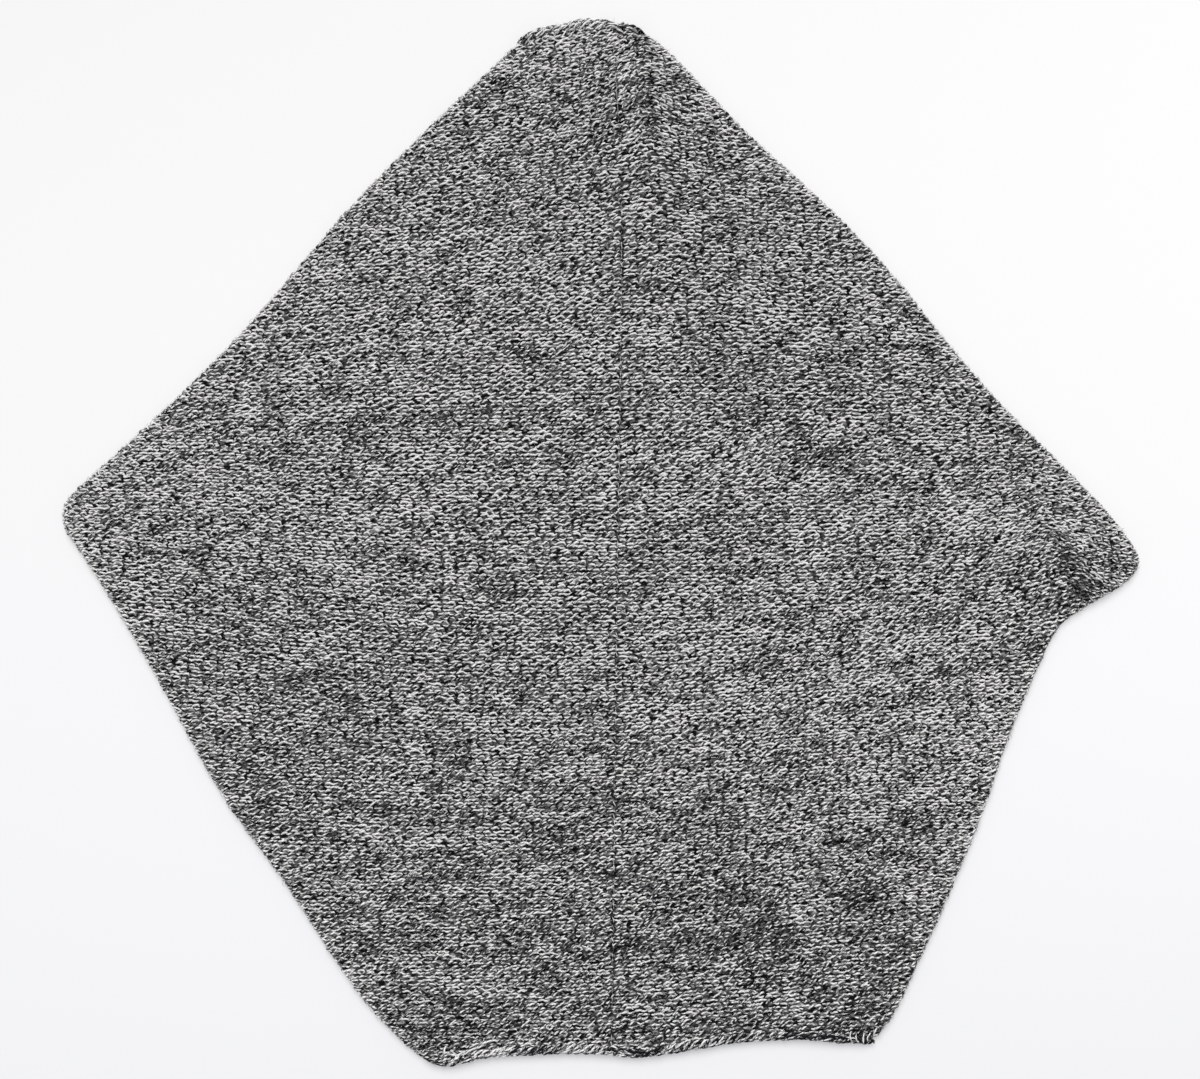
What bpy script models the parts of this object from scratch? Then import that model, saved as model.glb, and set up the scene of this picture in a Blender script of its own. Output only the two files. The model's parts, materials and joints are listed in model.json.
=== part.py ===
"""Poncho-style pullover sweater in chunky marl knit, laid flat with its back upwards.

Metres, +Z up. The garment lies on the plane Z = 0 with its neck towards +Y, and the middle of its
outline is on the Z axis. The back is two halves that meet at the centre back seam. The front lies
under them. Each piece is one wall of knit with its batwing sleeve in one with the body.

Heights down the garment are measured from the highest point of the neck edge, and places across it
from the middle of its width, positive to the right as it lies.
"""

from collections import namedtuple
import math

import bpy
import numpy as np

MM = 0.001

# Driving sizes
GARMENT_LENGTH = 838.4 * MM   # from the neck edge's top to the lowest point of the hem
WALL = 4.5 * MM               # a chunky knit, two yarns thick
SEAM_GAP = 0.3 * MM           # between pieces that are sewn together or lie on each other
NECKLINE_DEPTH = 96 * MM      # how far the front's neckline dips under the back's neck edge
NECKLINE_SQUARENESS = 2.6     # 2 is a parabola, more is squarer

# Edges of the knit
FOLD_EDGE_ROUND = 6.0 * MM    # the shoulder, sleeve and side edges roll over this far
OPEN_EDGE_ROUND = 2.6 * MM    # the hem and the neck edge
SEAM_EDGE_ROUND = 1.8 * MM    # the wall dips into the centre back seam
FOLD_EDGE_SHARE = 0.25        # of the wall's thickness that stands upright at a rolled edge
OPEN_EDGE_SHARE = 0.45
SEAM_EDGE_SHARE = 0.55
CAST_OFF_RISE = 0.9 * MM      # the cast-off chain stands proud of the knit
CAST_OFF_INSET = 4.0 * MM
CAST_OFF_WIDTH = 2.2 * MM

# How the back settles into the neckline that lies under it
NECKLINE_SAG = 3.2 * MM
SAG_CLEAR = 8.0 * MM          # the wall stays level for this far inside the neckline's edge
SAG_RUN = 18.0 * MM           # and comes down over this distance
FOLD_FADE = 14.0 * MM         # folds die out this far from a rolled edge

# Spacing of the sections that the walls are made from
SECTION_PITCH = 30.0 * MM
ZONE_PITCH = 7.5 * MM
OPEN_EDGE_INSETS = tuple(v * MM for v in (0.0, 0.7, 1.9, 3.8, 6.5, 11.0))
FOLD_EDGE_INSETS = tuple(v * MM for v in (0.0, 0.6, 1.7, 3.4, 6.2, 11.0, 17.0, 24.0, 33.0, 44.0, 58.0))
FRONT_EDGE_INSETS = FOLD_EDGE_INSETS[:6]
SEAM_INSETS = tuple(v * MM for v in (0.0, 0.7, 1.9, 8.0, 18.0, 30.0))
INSETS_SHARE = 0.7            # of a narrow section's width, at most, for both ends' insets
BACK_COLUMNS = 7
FRONT_COLUMNS = 18

# Marl yarn, as a flat colour
KNIT_COLOUR = (0.17, 0.17, 0.175, 1.0)
KNIT_ROUGHNESS = 0.95

Edge = namedtuple("Edge", "down out")
Across = namedtuple("Across", "across down")
Fold = namedtuple("Fold", "across down turn length width rise")
Zone = namedtuple("Zone", "start end")

# Left edge as it lies, in mm: shoulder slope, blunt sleeve end, side
LEFT_EDGE = (
    Edge(down=14.4, out=61.6),
    Edge(down=61.6, out=112.0),
    Edge(down=145.6, out=196.8),
    Edge(down=257.6, out=294.4),
    Edge(down=313.6, out=351.2),
    Edge(down=369.6, out=412.8),
    Edge(down=379.2, out=423.4),
    Edge(down=388.0, out=429.6),
    Edge(down=397.6, out=432.0),
    Edge(down=408.0, out=430.6),
    Edge(down=417.6, out=424.4),
    Edge(down=449.6, out=403.2),
    Edge(down=529.6, out=355.6),
    Edge(down=625.6, out=302.4),
    Edge(down=689.6, out=256.0),
    Edge(down=785.6, out=191.2),
    Edge(down=814.4, out=165.2),
    Edge(down=829.0, out=148.4),
    Edge(down=836.0, out=136.0),
)

# Right edge, in mm: shoulder slope, drooping sleeve end with its mouth turned down, side
RIGHT_EDGE = (
    Edge(down=8.8, out=31.2),
    Edge(down=18.4, out=46.4),
    Edge(down=33.6, out=62.4),
    Edge(down=89.6, out=116.0),
    Edge(down=145.6, out=177.6),
    Edge(down=201.6, out=232.0),
    Edge(down=257.6, out=276.8),
    Edge(down=313.6, out=325.6),
    Edge(down=369.6, out=382.4),
    Edge(down=401.6, out=412.0),
    Edge(down=424.0, out=427.6),
    Edge(down=433.6, out=432.0),
    Edge(down=442.4, out=429.6),
    Edge(down=452.8, out=420.4),
    Edge(down=461.6, out=405.6),
    Edge(down=476.8, out=380.0),
    Edge(down=484.0, out=369.6),
    Edge(down=492.8, out=363.6),
    Edge(down=529.6, out=346.4),
    Edge(down=577.6, out=326.4),
    Edge(down=625.6, out=310.4),
    Edge(down=689.6, out=284.8),
    Edge(down=753.6, out=256.0),
    Edge(down=800.0, out=233.6),
    Edge(down=814.4, out=222.8),
    Edge(down=820.8, out=213.6),
)

# Back neck edge, in mm, with the small notch where the seam ends
NECK_EDGE = (
    Across(across=-61.6, down=14.4),
    Across(across=-50.0, down=8.2),
    Across(across=-33.0, down=4.6),
    Across(across=-17.0, down=0.8),
    Across(across=-8.0, down=0.0),
    Across(across=0.0, down=0.8),
    Across(across=8.8, down=3.4),
    Across(across=20.0, down=4.6),
    Across(across=31.2, down=8.8),
)

# Hem, in mm: a shallow wave between its two rounded corners
HEM = (
    Across(across=-136.0, down=836.0),
    Across(across=-124.8, down=838.4),
    Across(across=-110.0, down=835.6),
    Across(across=-88.8, down=831.0),
    Across(across=-64.8, down=829.6),
    Across(across=-16.8, down=828.0),
    Across(across=8.4, down=829.4),
    Across(across=26.0, down=831.4),
    Across(across=55.2, down=828.0),
    Across(across=79.2, down=824.2),
    Across(across=115.2, down=818.6),
    Across(across=159.2, down=816.8),
    Across(across=190.0, down=819.0),
    Across(across=213.6, down=820.8),
)

# Centre back seam, in mm
SEAM = (
    Edge(down=3.4, out=8.8),
    Edge(down=60.0, out=12.6),
    Edge(down=128.0, out=16.8),
    Edge(down=465.0, out=12.8),
    Edge(down=829.4, out=8.4),
)

# Folds of the back, in mm and degrees: turn is anticlockwise from +X, rise below 0 is a trough
FOLDS = (
    Fold(across=368.0, down=436.0, turn=-57.0, length=44.0, width=13.0, rise=4.6),
    Fold(across=402.0, down=444.0, turn=-60.0, length=34.0, width=13.0, rise=5.2),
    Fold(across=383.0, down=449.0, turn=-62.0, length=34.0, width=5.0, rise=-2.6),
    Fold(across=22.0, down=70.0, turn=-80.0, length=34.0, width=9.0, rise=2.0),
    Fold(across=50.0, down=72.0, turn=-70.0, length=40.0, width=10.0, rise=1.8),
    Fold(across=36.0, down=66.0, turn=-76.0, length=26.0, width=4.0, rise=-1.4),
    Fold(across=108.0, down=712.0, turn=-62.0, length=70.0, width=15.0, rise=1.6),
    Fold(across=152.0, down=756.0, turn=-52.0, length=70.0, width=16.0, rise=1.6),
    Fold(across=-96.0, down=806.0, turn=14.0, length=46.0, width=9.0, rise=1.6),
    Fold(across=30.0, down=800.0, turn=-8.0, length=40.0, width=11.0, rise=1.4),
)

# Stretches of the garment's length that need closer sections
NECK_ZONE = Zone(start=18.0 * MM, end=112.0 * MM)
LEFT_TIP = Zone(start=368.0 * MM, end=424.0 * MM)
RIGHT_TIP = Zone(start=410.0 * MM, end=498.0 * MM)
LOWER_ZONE = Zone(start=660.0 * MM, end=768.0 * MM)
HEM_ZONE = Zone(start=776.0 * MM, end=824.0 * MM)


def in_metres(table):
    """The table's two columns as arrays in metres."""
    values = np.array(table, float) * MM
    return values[:, 0], values[:, 1]


def smooth_through(table, at):
    """A smooth curve through the table's rows that never overshoots them, read at these places."""
    x, y = in_metres(table)
    step = np.diff(x)
    slope = np.diff(y) / step
    tangent = np.zeros(len(x))
    tangent[0] = slope[0]
    tangent[-1] = slope[-1]
    same_way = slope[:-1] * slope[1:] > 0
    before = 2 * step[1:] + step[:-1]
    after = step[1:] + 2 * step[:-1]
    with np.errstate(divide="ignore", invalid="ignore"):
        mean = (before + after) / (before / slope[:-1] + after / slope[1:])
    tangent[1:-1] = np.where(same_way, mean, 0.0)
    at = np.clip(at, x[0], x[-1])
    i = np.clip(np.searchsorted(x, at) - 1, 0, len(step) - 1)
    s = (at - x[i]) / step[i]
    rise = step[i] * (tangent[i] * s * (1 - s) ** 2 - tangent[i + 1] * s**2 * (1 - s))
    return y[i] * (1 + 2 * s) * (1 - s) ** 2 + y[i + 1] * s**2 * (3 - 2 * s) + rise


def soft_step(s):
    s = np.clip(s, 0.0, 1.0)
    return s * s * (3 - 2 * s)


def span(table, column):
    """First and last value of one of the table's columns, in metres."""
    return table[0][column] * MM, table[-1][column] * MM


def edge_line(table, side, shares):
    """Points (across, down) of a side edge or the seam at these shares of its height."""
    start, end = span(table, 0)
    down = start + (end - start) * shares
    return np.stack([side * smooth_through(table, down), down], axis=-1)


def across_line(table, start, end, shares):
    """Points (across, down) of the neck edge or the hem between two places across it."""
    across = start + (end - start) * shares
    return np.stack([across, smooth_through(table, across)], axis=-1)


def neckline(shares):
    """The front's neckline: a scoop between the two ends of the back's neck edge."""
    left, right = span(NECK_EDGE, 0)
    top_left, top_right = span(NECK_EDGE, 1)
    across = left + (right - left) * shares
    level = top_left + (top_right - top_left) * shares
    dip = 1 - np.abs(2 * shares - 1) ** NECKLINE_SQUARENESS
    return np.stack([across, level + NECKLINE_DEPTH * dip], axis=-1)


def distance_to(points, line):
    """Distance from each point to an open run of line points."""
    flat = points.reshape(-1, 1, 2)
    start = line[:-1]
    along = line[1:] - start
    share = ((flat - start) * along).sum(-1) / (along**2).sum(-1)
    nearest = start + np.clip(share, 0, 1)[..., None] * along
    return np.linalg.norm(flat - nearest, axis=-1).min(axis=1).reshape(points.shape[:-1])


def rounded(distance, reach, share):
    """Share of the wall's height at this distance from its edge: a quarter round on an upright lip."""
    s = np.clip(distance / reach, 0, 1)
    return share + (1 - share) * np.sqrt(1 - (1 - s) ** 2)


FINE = np.linspace(0, 1, 400)
LEFT_LINE = edge_line(LEFT_EDGE, -1, FINE)
RIGHT_LINE = edge_line(RIGHT_EDGE, 1, FINE)
SEAM_LINE = edge_line(SEAM, 1, FINE)
HEM_LINE = across_line(HEM, *span(HEM, 0), FINE)
NECK_LINE = across_line(NECK_EDGE, *span(NECK_EDGE, 0), FINE)
NECKLINE_LINE = neckline(FINE)


def fold_rise(points):
    """Height of the soft folds over the flat back at each point."""
    total = np.zeros(points.shape[:-1])
    for fold in FOLDS:
        turn = math.radians(fold.turn)
        x = points[..., 0] - fold.across * MM
        y = fold.down * MM - points[..., 1]
        along = x * math.cos(turn) + y * math.sin(turn)
        aside = y * math.cos(turn) - x * math.sin(turn)
        bell = (along / (fold.length * MM)) ** 2 + (aside / (fold.width * MM)) ** 2
        total += fold.rise * MM * np.exp(-bell)
    return total


def neckline_sag(points):
    """How far the back comes down into the front's neckline at each point."""
    left, right = span(NECK_EDGE, 0)
    share = np.clip((points[..., 0] - left) / (right - left), 0, 1)
    inside = (points[..., 1] < neckline(share)[..., 1]) & (share > 0) & (share < 1)
    depth = distance_to(points, NECKLINE_LINE) - SAG_CLEAR
    return np.where(inside, NECKLINE_SAG * soft_step(depth / SAG_RUN), 0.0)


def back_heights(points):
    """Lowest and highest Z of the back's wall at each point."""
    side = np.minimum(distance_to(points, LEFT_LINE), distance_to(points, RIGHT_LINE))
    free = np.minimum(distance_to(points, HEM_LINE), distance_to(points, NECK_LINE))
    seam = distance_to(points, SEAM_LINE)
    shape = rounded(side, FOLD_EDGE_ROUND, FOLD_EDGE_SHARE)
    shape = np.minimum(shape, rounded(free, OPEN_EDGE_ROUND, OPEN_EDGE_SHARE))
    shape = np.minimum(shape, rounded(seam, SEAM_EDGE_ROUND, SEAM_EDGE_SHARE))
    chain = CAST_OFF_RISE * np.exp(-(((free - CAST_OFF_INSET) / CAST_OFF_WIDTH) ** 2))
    fold = fold_rise(points) * soft_step(side / FOLD_FADE)
    level = WALL + SEAM_GAP - neckline_sag(points)
    low = level + np.maximum(fold, 0)
    return low, level + fold + WALL * shape + chain * soft_step(side / FOLD_EDGE_ROUND)


def front_heights(points):
    """Lowest and highest Z of the front's wall: flat on the ground, its rim rolled up."""
    side = np.minimum(distance_to(points, LEFT_LINE), distance_to(points, RIGHT_LINE))
    free = np.minimum(distance_to(points, HEM_LINE), distance_to(points, NECKLINE_LINE))
    shape = rounded(side, FOLD_EDGE_ROUND, FOLD_EDGE_SHARE)
    shape = np.minimum(shape, rounded(free, OPEN_EDGE_ROUND, OPEN_EDGE_SHARE))
    return WALL * (1 - shape), np.full(shape.shape, WALL)


def section_shares(zones):
    """Shares of the garment's length at which the walls have a section, closer at edges and zones."""
    insets = np.array(OPEN_EDGE_INSETS)
    even = np.arange(2 * SECTION_PITCH, GARMENT_LENGTH - SECTION_PITCH, SECTION_PITCH)
    places = np.concatenate([insets, GARMENT_LENGTH - insets, even])
    for zone in zones:
        outside = (places < zone.start - ZONE_PITCH) | (places > zone.end + ZONE_PITCH)
        places = np.concatenate([places[outside], np.arange(zone.start, zone.end, ZONE_PITCH)])
    return np.unique(np.round(places, 6)) / GARMENT_LENGTH


def column_shares(width, first_insets, last_insets, columns):
    """Shares of a section's width: the insets at both ends and even steps between."""
    first = np.array(first_insets)
    last = np.array(last_insets)
    room = min(1.0, INSETS_SHARE * width / (first[-1] + last[-1]))
    first = first * room / width
    last = last * room / width
    middle = np.linspace(first[-1], 1 - last[-1], columns + 2)[1:-1]
    return np.concatenate([first, middle, 1 - last[::-1]])


def patch(left, right, top, bottom, rows, columns):
    """A grid of points inside four edge functions; columns gives the shares across a section's width."""
    grid = []
    start_left, end_left = left(0.0), left(1.0)
    start_right, end_right = right(0.0), right(1.0)
    for t in rows:
        a = left(t)
        b = right(t)
        u = columns(np.linalg.norm(b - a))[:, None]
        across = a * (1 - u) + b * u
        top_bow = top(u[:, 0]) - start_left * (1 - u) - start_right * u
        bottom_bow = bottom(u[:, 0]) - end_left * (1 - u) - end_right * u
        grid.append(across + (1 - t) * top_bow + t * bottom_bow)
    return np.array(grid)


def wall_object(name, grid, heights):
    """One closed wall of knit over a grid of points, from its lower to its upper heights."""
    low, high = heights(grid)
    rows, columns = grid.shape[:2]
    middle = GARMENT_LENGTH / 2
    vertices = []
    for level in (high, low):
        for j in range(rows):
            for i in range(columns):
                across, down = grid[j, i]
                vertices.append((across, middle - down, level[j, i]))

    def upper(j, i):
        return j * columns + i

    def lower(j, i):
        return rows * columns + j * columns + i

    faces = []
    for j in range(rows - 1):
        for i in range(columns - 1):
            faces.append((upper(j, i), upper(j + 1, i), upper(j + 1, i + 1), upper(j, i + 1)))
            faces.append((lower(j, i), lower(j, i + 1), lower(j + 1, i + 1), lower(j + 1, i)))
    rim = [(0, i) for i in range(columns)]
    rim += [(j, columns - 1) for j in range(1, rows)]
    rim += [(rows - 1, i) for i in range(columns - 2, -1, -1)]
    rim += [(j, 0) for j in range(rows - 2, 0, -1)]
    for here, following in zip(rim, rim[1:] + rim[:1]):
        faces.append((upper(*here), upper(*following), lower(*following), lower(*here)))

    mesh = bpy.data.meshes.new(name)
    mesh.from_pydata(vertices, [], faces)
    mesh.update()
    mesh.shade_smooth()
    mesh.set_sharp_from_angle(angle=math.radians(50))
    wall = bpy.data.objects.new(name, mesh)
    bpy.context.scene.collection.objects.link(wall)
    wall.data.materials.append(knit_material(name))
    return wall


def knit_material(name):
    material = bpy.data.materials.new(name + "_knit")
    material.use_nodes = True
    shader = material.node_tree.nodes["Principled BSDF"]
    shader.inputs["Base Color"].default_value = KNIT_COLOUR
    shader.inputs["Roughness"].default_value = KNIT_ROUGHNESS
    shader.inputs["Metallic"].default_value = 0.0
    return material


def shifted(line, across):
    """An edge function moved sideways, to leave half of a seam's gap."""

    def moved(t):
        return line(t) + np.array([across, 0.0])

    return moved


def left_side(t):
    return edge_line(LEFT_EDGE, -1, np.asarray(t))


def right_side(t):
    return edge_line(RIGHT_EDGE, 1, np.asarray(t))


def seam_side(t):
    return edge_line(SEAM, 1, np.asarray(t))


def build_back_left():
    seam = shifted(seam_side, -SEAM_GAP / 2)
    neck_from, neck_to = left_side(0.0)[0], seam(0.0)[0]
    hem_from, hem_to = left_side(1.0)[0], seam(1.0)[0]
    grid = patch(
        left_side,
        seam,
        lambda u: across_line(NECK_EDGE, neck_from, neck_to, u),
        lambda u: across_line(HEM, hem_from, hem_to, u),
        section_shares([NECK_ZONE, LEFT_TIP, HEM_ZONE]),
        lambda width: column_shares(width, FOLD_EDGE_INSETS, SEAM_INSETS, BACK_COLUMNS),
    )
    return wall_object("back_left", grid, back_heights)


def build_back_right():
    seam = shifted(seam_side, SEAM_GAP / 2)
    neck_from, neck_to = seam(0.0)[0], right_side(0.0)[0]
    hem_from, hem_to = seam(1.0)[0], right_side(1.0)[0]
    grid = patch(
        seam,
        right_side,
        lambda u: across_line(NECK_EDGE, neck_from, neck_to, u),
        lambda u: across_line(HEM, hem_from, hem_to, u),
        section_shares([NECK_ZONE, RIGHT_TIP, LOWER_ZONE, HEM_ZONE]),
        lambda width: column_shares(width, SEAM_INSETS, FOLD_EDGE_INSETS, BACK_COLUMNS),
    )
    return wall_object("back_right", grid, back_heights)


def build_front():
    grid = patch(
        left_side,
        right_side,
        neckline,
        lambda u: across_line(HEM, *span(HEM, 0), u),
        section_shares([LEFT_TIP, RIGHT_TIP]),
        lambda width: column_shares(width, FRONT_EDGE_INSETS, FRONT_EDGE_INSETS, FRONT_COLUMNS),
    )
    return wall_object("front", grid, front_heights)


def clear_scene():
    for thing in list(bpy.data.objects):
        bpy.data.objects.remove(thing, do_unlink=True)


def main():
    clear_scene()
    build_back_left()
    build_back_right()
    build_front()


main()
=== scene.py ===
from collections import namedtuple
import json
import math

import bmesh
import bpy
from bpy.props import FloatProperty, FloatVectorProperty, IntProperty, PointerProperty
from bpy.types import Operator, Panel, PropertyGroup
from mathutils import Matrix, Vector
from mathutils.bvhtree import BVHTree
import numpy as np

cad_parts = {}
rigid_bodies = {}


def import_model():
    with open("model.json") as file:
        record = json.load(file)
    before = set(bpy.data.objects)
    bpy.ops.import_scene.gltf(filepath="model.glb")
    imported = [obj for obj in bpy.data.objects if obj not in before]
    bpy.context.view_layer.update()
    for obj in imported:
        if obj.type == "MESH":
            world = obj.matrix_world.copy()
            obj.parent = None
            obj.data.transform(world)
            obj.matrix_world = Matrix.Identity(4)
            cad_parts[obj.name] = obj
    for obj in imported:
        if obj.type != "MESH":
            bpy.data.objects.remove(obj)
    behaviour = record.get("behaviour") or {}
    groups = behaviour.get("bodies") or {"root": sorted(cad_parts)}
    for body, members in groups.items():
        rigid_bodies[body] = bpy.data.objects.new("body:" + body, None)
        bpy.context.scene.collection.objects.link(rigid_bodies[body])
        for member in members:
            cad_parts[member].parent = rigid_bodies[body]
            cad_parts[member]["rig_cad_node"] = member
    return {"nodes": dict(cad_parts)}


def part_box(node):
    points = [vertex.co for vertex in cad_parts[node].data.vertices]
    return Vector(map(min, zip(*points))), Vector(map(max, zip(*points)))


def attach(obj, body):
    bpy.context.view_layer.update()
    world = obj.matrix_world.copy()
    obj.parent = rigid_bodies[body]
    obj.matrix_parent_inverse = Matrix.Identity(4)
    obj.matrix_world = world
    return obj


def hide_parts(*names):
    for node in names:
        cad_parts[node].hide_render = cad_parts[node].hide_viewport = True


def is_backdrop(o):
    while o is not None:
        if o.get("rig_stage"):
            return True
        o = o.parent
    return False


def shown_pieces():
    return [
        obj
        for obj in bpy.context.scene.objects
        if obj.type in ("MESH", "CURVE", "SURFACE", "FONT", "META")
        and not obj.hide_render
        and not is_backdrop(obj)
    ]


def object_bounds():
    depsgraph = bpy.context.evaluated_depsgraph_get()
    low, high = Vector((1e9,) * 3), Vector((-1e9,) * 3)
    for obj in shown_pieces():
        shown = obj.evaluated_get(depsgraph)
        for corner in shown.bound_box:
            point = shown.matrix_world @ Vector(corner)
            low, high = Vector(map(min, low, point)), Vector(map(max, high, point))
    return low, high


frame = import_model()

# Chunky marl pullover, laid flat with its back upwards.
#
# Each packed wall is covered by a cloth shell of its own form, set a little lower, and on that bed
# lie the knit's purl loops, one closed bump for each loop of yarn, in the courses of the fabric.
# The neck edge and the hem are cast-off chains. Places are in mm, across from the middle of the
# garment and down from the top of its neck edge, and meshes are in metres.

bl_info = {
    "name": "Marl Knit Pullover",
    "version": (1, 0, 0),
    "blender": (4, 5, 0),
    "location": "3D View > Sidebar > Pullover",
    "description": "Builds a chunky marl knit pullover laid flat, stitch by stitch",
    "category": "Object",
}

MM = 0.001
UP = np.array((0.0, 0.0, 1.0))
PHOTO_MIDDLE = Vector((-0.8 * MM, 2.0 * MM))   # where the picture's middle falls on the cloth

CAD_LOW, CAD_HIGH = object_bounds()
GARMENT_LENGTH = CAD_HIGH.y - CAD_LOW.y
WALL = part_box("front")[1].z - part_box("front")[0].z
LAYER_GAP = 0.3 * MM                           # between back and front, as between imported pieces
STACK = 2 * WALL + LAYER_GAP                   # back and front, one on the other
HALFWAY_UP = STACK / 2 - 0.4 * MM              # loops below this belong to the front's edge
BACK_HALVES = ("back_left", "back_right")
SEAM_MIDDLE = 12.5 * MM                        # the centre back seam wanders a little about this
SEAM_SHUT = 110 * MM                           # down to here the loops close over the seam
SEAM_OPEN = 180 * MM                           # and from here down it shows
ONE_YARN = (0.0,)                              # both plies in one round tube
TWO_PLIES = (-1.0, 1.0)                        # dark and light, each a tube of its own
EDGE_FUZZ = 0.6                                # the share of the loose fibres that stand on the edge
YARN = "marl_yarn"
SINGLE_LOOPS = "yarn_loops"
PLIED_LOOPS = "plied_loops"
FURTHEST_ROLL = math.radians(126)              # how far round a folded edge loops are laid
SLOPE_STEP = 2.2 * MM                          # how far apart heights are taken for a slope

Place = namedtuple("Place", "across down")
Hump = namedtuple("Hump", "across down rise reach above below slant peaked")
Crease = namedtuple("Crease", "across down turn length width rise")
Patch = namedtuple("Patch", "across down turn length width shade")
Lean = namedtuple("Lean", "across turn")
Stitch = namedtuple("Stitch", "across down turn shade")
Strand = namedtuple("Strand", "inset roll offset size turned")


def rows(kind, *values):
    """A table with a named row of this kind for each line of values."""
    return tuple(kind(*line) for line in values)


# Corners of the back, where its folded edges meet the neck edge, the hem and the seam
SEAM_ENDS = {"seam_top": Place(8.8, 3.4), "seam_foot": Place(8.4, 829.4)}
CORNERS = {
    "back_left": {**SEAM_ENDS, "neck_end": Place(-61.6, 14.4), "hem_end": Place(-136.0, 836.0)},
    "back_right": {**SEAM_ENDS, "neck_end": Place(31.2, 8.8), "hem_end": Place(213.6, 820.8)},
}

# How the courses of the knit bend, in mm: rise is how far they are pushed towards the neck. A peaked
# hump has a crease along its top, steep on its right, that moves across by slant with each mm down
ROW_HUMPS = rows(
    Hump,    # across, down, rise, reach, above, below, slant, peaked
    (36, 62, 18, 60, 60, 66, 0.12, True),
    (371, 440, 20, 58, 40, 52, 0.45, True),
    (10, 180, 28, 280, 180, 150, 0, False),
    (-500, 470, 34, 190, 110, 140, 0, False),
    (290, 700, 24, 150, 150, 110, 0, False),
)

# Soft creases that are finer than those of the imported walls, in mm, with turn in degrees from across
CREASES = rows(
    Crease,    # across, down, turn, length, width, rise
    (38, 66, -83, 26, 5, -2),
    (40, 100, -78, 20, 6, -0.9),
    (-22, 62, -62, 26, 8, -0.7),
    (2, 52, 4, 34, 5, -0.7),
    (377, 446, -67, 30, 5, -2.8),
    (368, 428, -52, 30, 6, -0.6),
    (156, 742, -58, 80, 10, -0.9),
    (204, 814, -8, 14, 5, -1.5),
    (-238, 545, 6, 120, 16, -0.5),
    (60, 640, -10, 90, 18, -0.5),
    (200, 205, 30, 60, 14, -0.5),
)

# Where the knit runs darker or lighter: the marl over a hand's breadth, and painted shade
# The narrow dark patches along the fine creases are painted shade there, with the stitches pressed closer
MARL_AND_SHADE_PATCHES = rows(
    Patch,    # across, down, turn, length, width, shade
    # The widest darkens the lower part as a painted falloff of the light towards the hem
    (20, 745, 0, 420, 170, -0.55),
    (10, 66, 0, 120, 56, -0.28),
    (400, 445, 0, 60, 70, -0.42),
    (-190, 532, 3, 80, 18, -0.27),
    (60, 640, -8, 75, 16, -0.21),
    (-10, 745, 6, 60, 16, -0.21),
    (200, 202, 20, 40, 22, -0.21),
    (40, 68, -82, 26, 6, -0.6),
    (0, 50, 2, 44, 10, -0.21),
    (-26, 70, -60, 34, 8, -0.18),
    (376, 440, -68, 34, 8, -0.9),
    (366, 456, -66, 22, 7, 0.3),
    (372, 428, -64, 22, 9, -0.3),
    (414, 441, -20, 14, 7, -0.4),
    (73, 439, 0, 5, 5, -1),
    (150, 740, -56, 80, 12, -0.21),
    (206, 812, 0, 18, 9, -0.95),
    (-340, 430, 10, 60, 14, -0.18),
    (-290, 600, 0, 50, 16, -0.15),
    (-148, 378, -5, 50, 22, 0.21),
    (-240, 388, 5, 50, 16, 0.18),
    (40, 330, 0, 40, 24, 0.15),
    (-60, 210, 12, 60, 18, 0.12),
    (180, 520, 4, 70, 20, 0.12),
    (310, 400, -16, 50, 14, 0.15),
    (-60, 600, 0, 60, 20, 0.12),
)

# Where the bumps slant more or less than elsewhere: shade is the slant, in degrees
SWAYS = rows(
    Patch,    # across, down, turn, length, width, shade
    (396, 444, -60, 30, 24, -16),
    (54, 66, -80, 36, 18, -9),
    (24, 60, -84, 30, 14, 12),
    (-260, 450, 0, 130, 60, -6),
    (90, 350, 0, 110, 30, 13),
    (240, 500, 0, 60, 40, 7),
    (230, 690, 0, 110, 90, -6),
    (-20, 228, 0, 85, 70, 8),
    (115, 210, 0, 45, 60, -9),
    (140, 560, 0, 75, 75, 4.5),
)

# The slant of the chain's loops, in degrees from the edge, from one end of it to the other
HEM_LEANS = rows(
    Lean,    # across, turn
    (-136, 8),
    (-70, 20),
    (4, 30),
    (14, -32),
    (34, -20),
    (50, 24),
    (140, 20),
    (176, -8),
    (213.6, -18),
)
NECK_LEANS = rows(
    Lean,    # across, turn
    (-61.6, 6),
    (-20, 14),
    (6, 22),
    (12, -16),
    (31.2, -10),
)

CORNER_LOOPS = rows(
    Stitch,    # across, down, turn, shade
    (-101.5, 825, 24, 0),
    (-96, 820.5, 16, -0.35),
    (-118, 829.5, -12, -0.2),
)
CORNER_STITCHES = rows(
    Stitch,    # across, down, turn, shade
    (-117, 829, -52, 0.3),
    (-112.5, 829.5, 48, 0.3),
    (-125, 826, 70, -0.2),
    (200, 815, 84, -0.75),
    (205, 816.5, 100, -0.8),
    (210, 817, 78, -0.65),
    (214.5, 815.5, 64, -0.8),
    (219, 811, 58, -0.7),
)

# The strands of a cast-off chain: inset in mm from its middle, roll round the edge, offset in loops,
# size of the loops, and how far they turn back against the chain's slant
CHAIN_STRANDS = rows(
    Strand,    # inset, roll, offset, size, turned
    (1.3, 0.15, 0.5, 1, 0),
    (-1.2, 0.75, 0, 0.95, -0.25),
    (-2.4, 1.45, 0.5, 0.8, -0.5),
)


def number(name, about, default, low, high, **more):
    return FloatProperty(name=name, description=about, default=default, min=low, max=high, **more)


def length(name, about, default, low, high):
    """A length, given here in mm."""
    return number(name, about, default * MM, low * MM, high * MM, precision=5, unit="LENGTH")


def angle(name, about, default, low, high):
    """An angle, whose default is given here in degrees."""
    return number(name, about, math.radians(default), low, high, subtype="ANGLE")


def colour(name, about, default):
    return FloatVectorProperty(
        name=name, description=about, subtype="COLOR", size=4, min=0.0, max=1.0, default=default)


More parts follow.
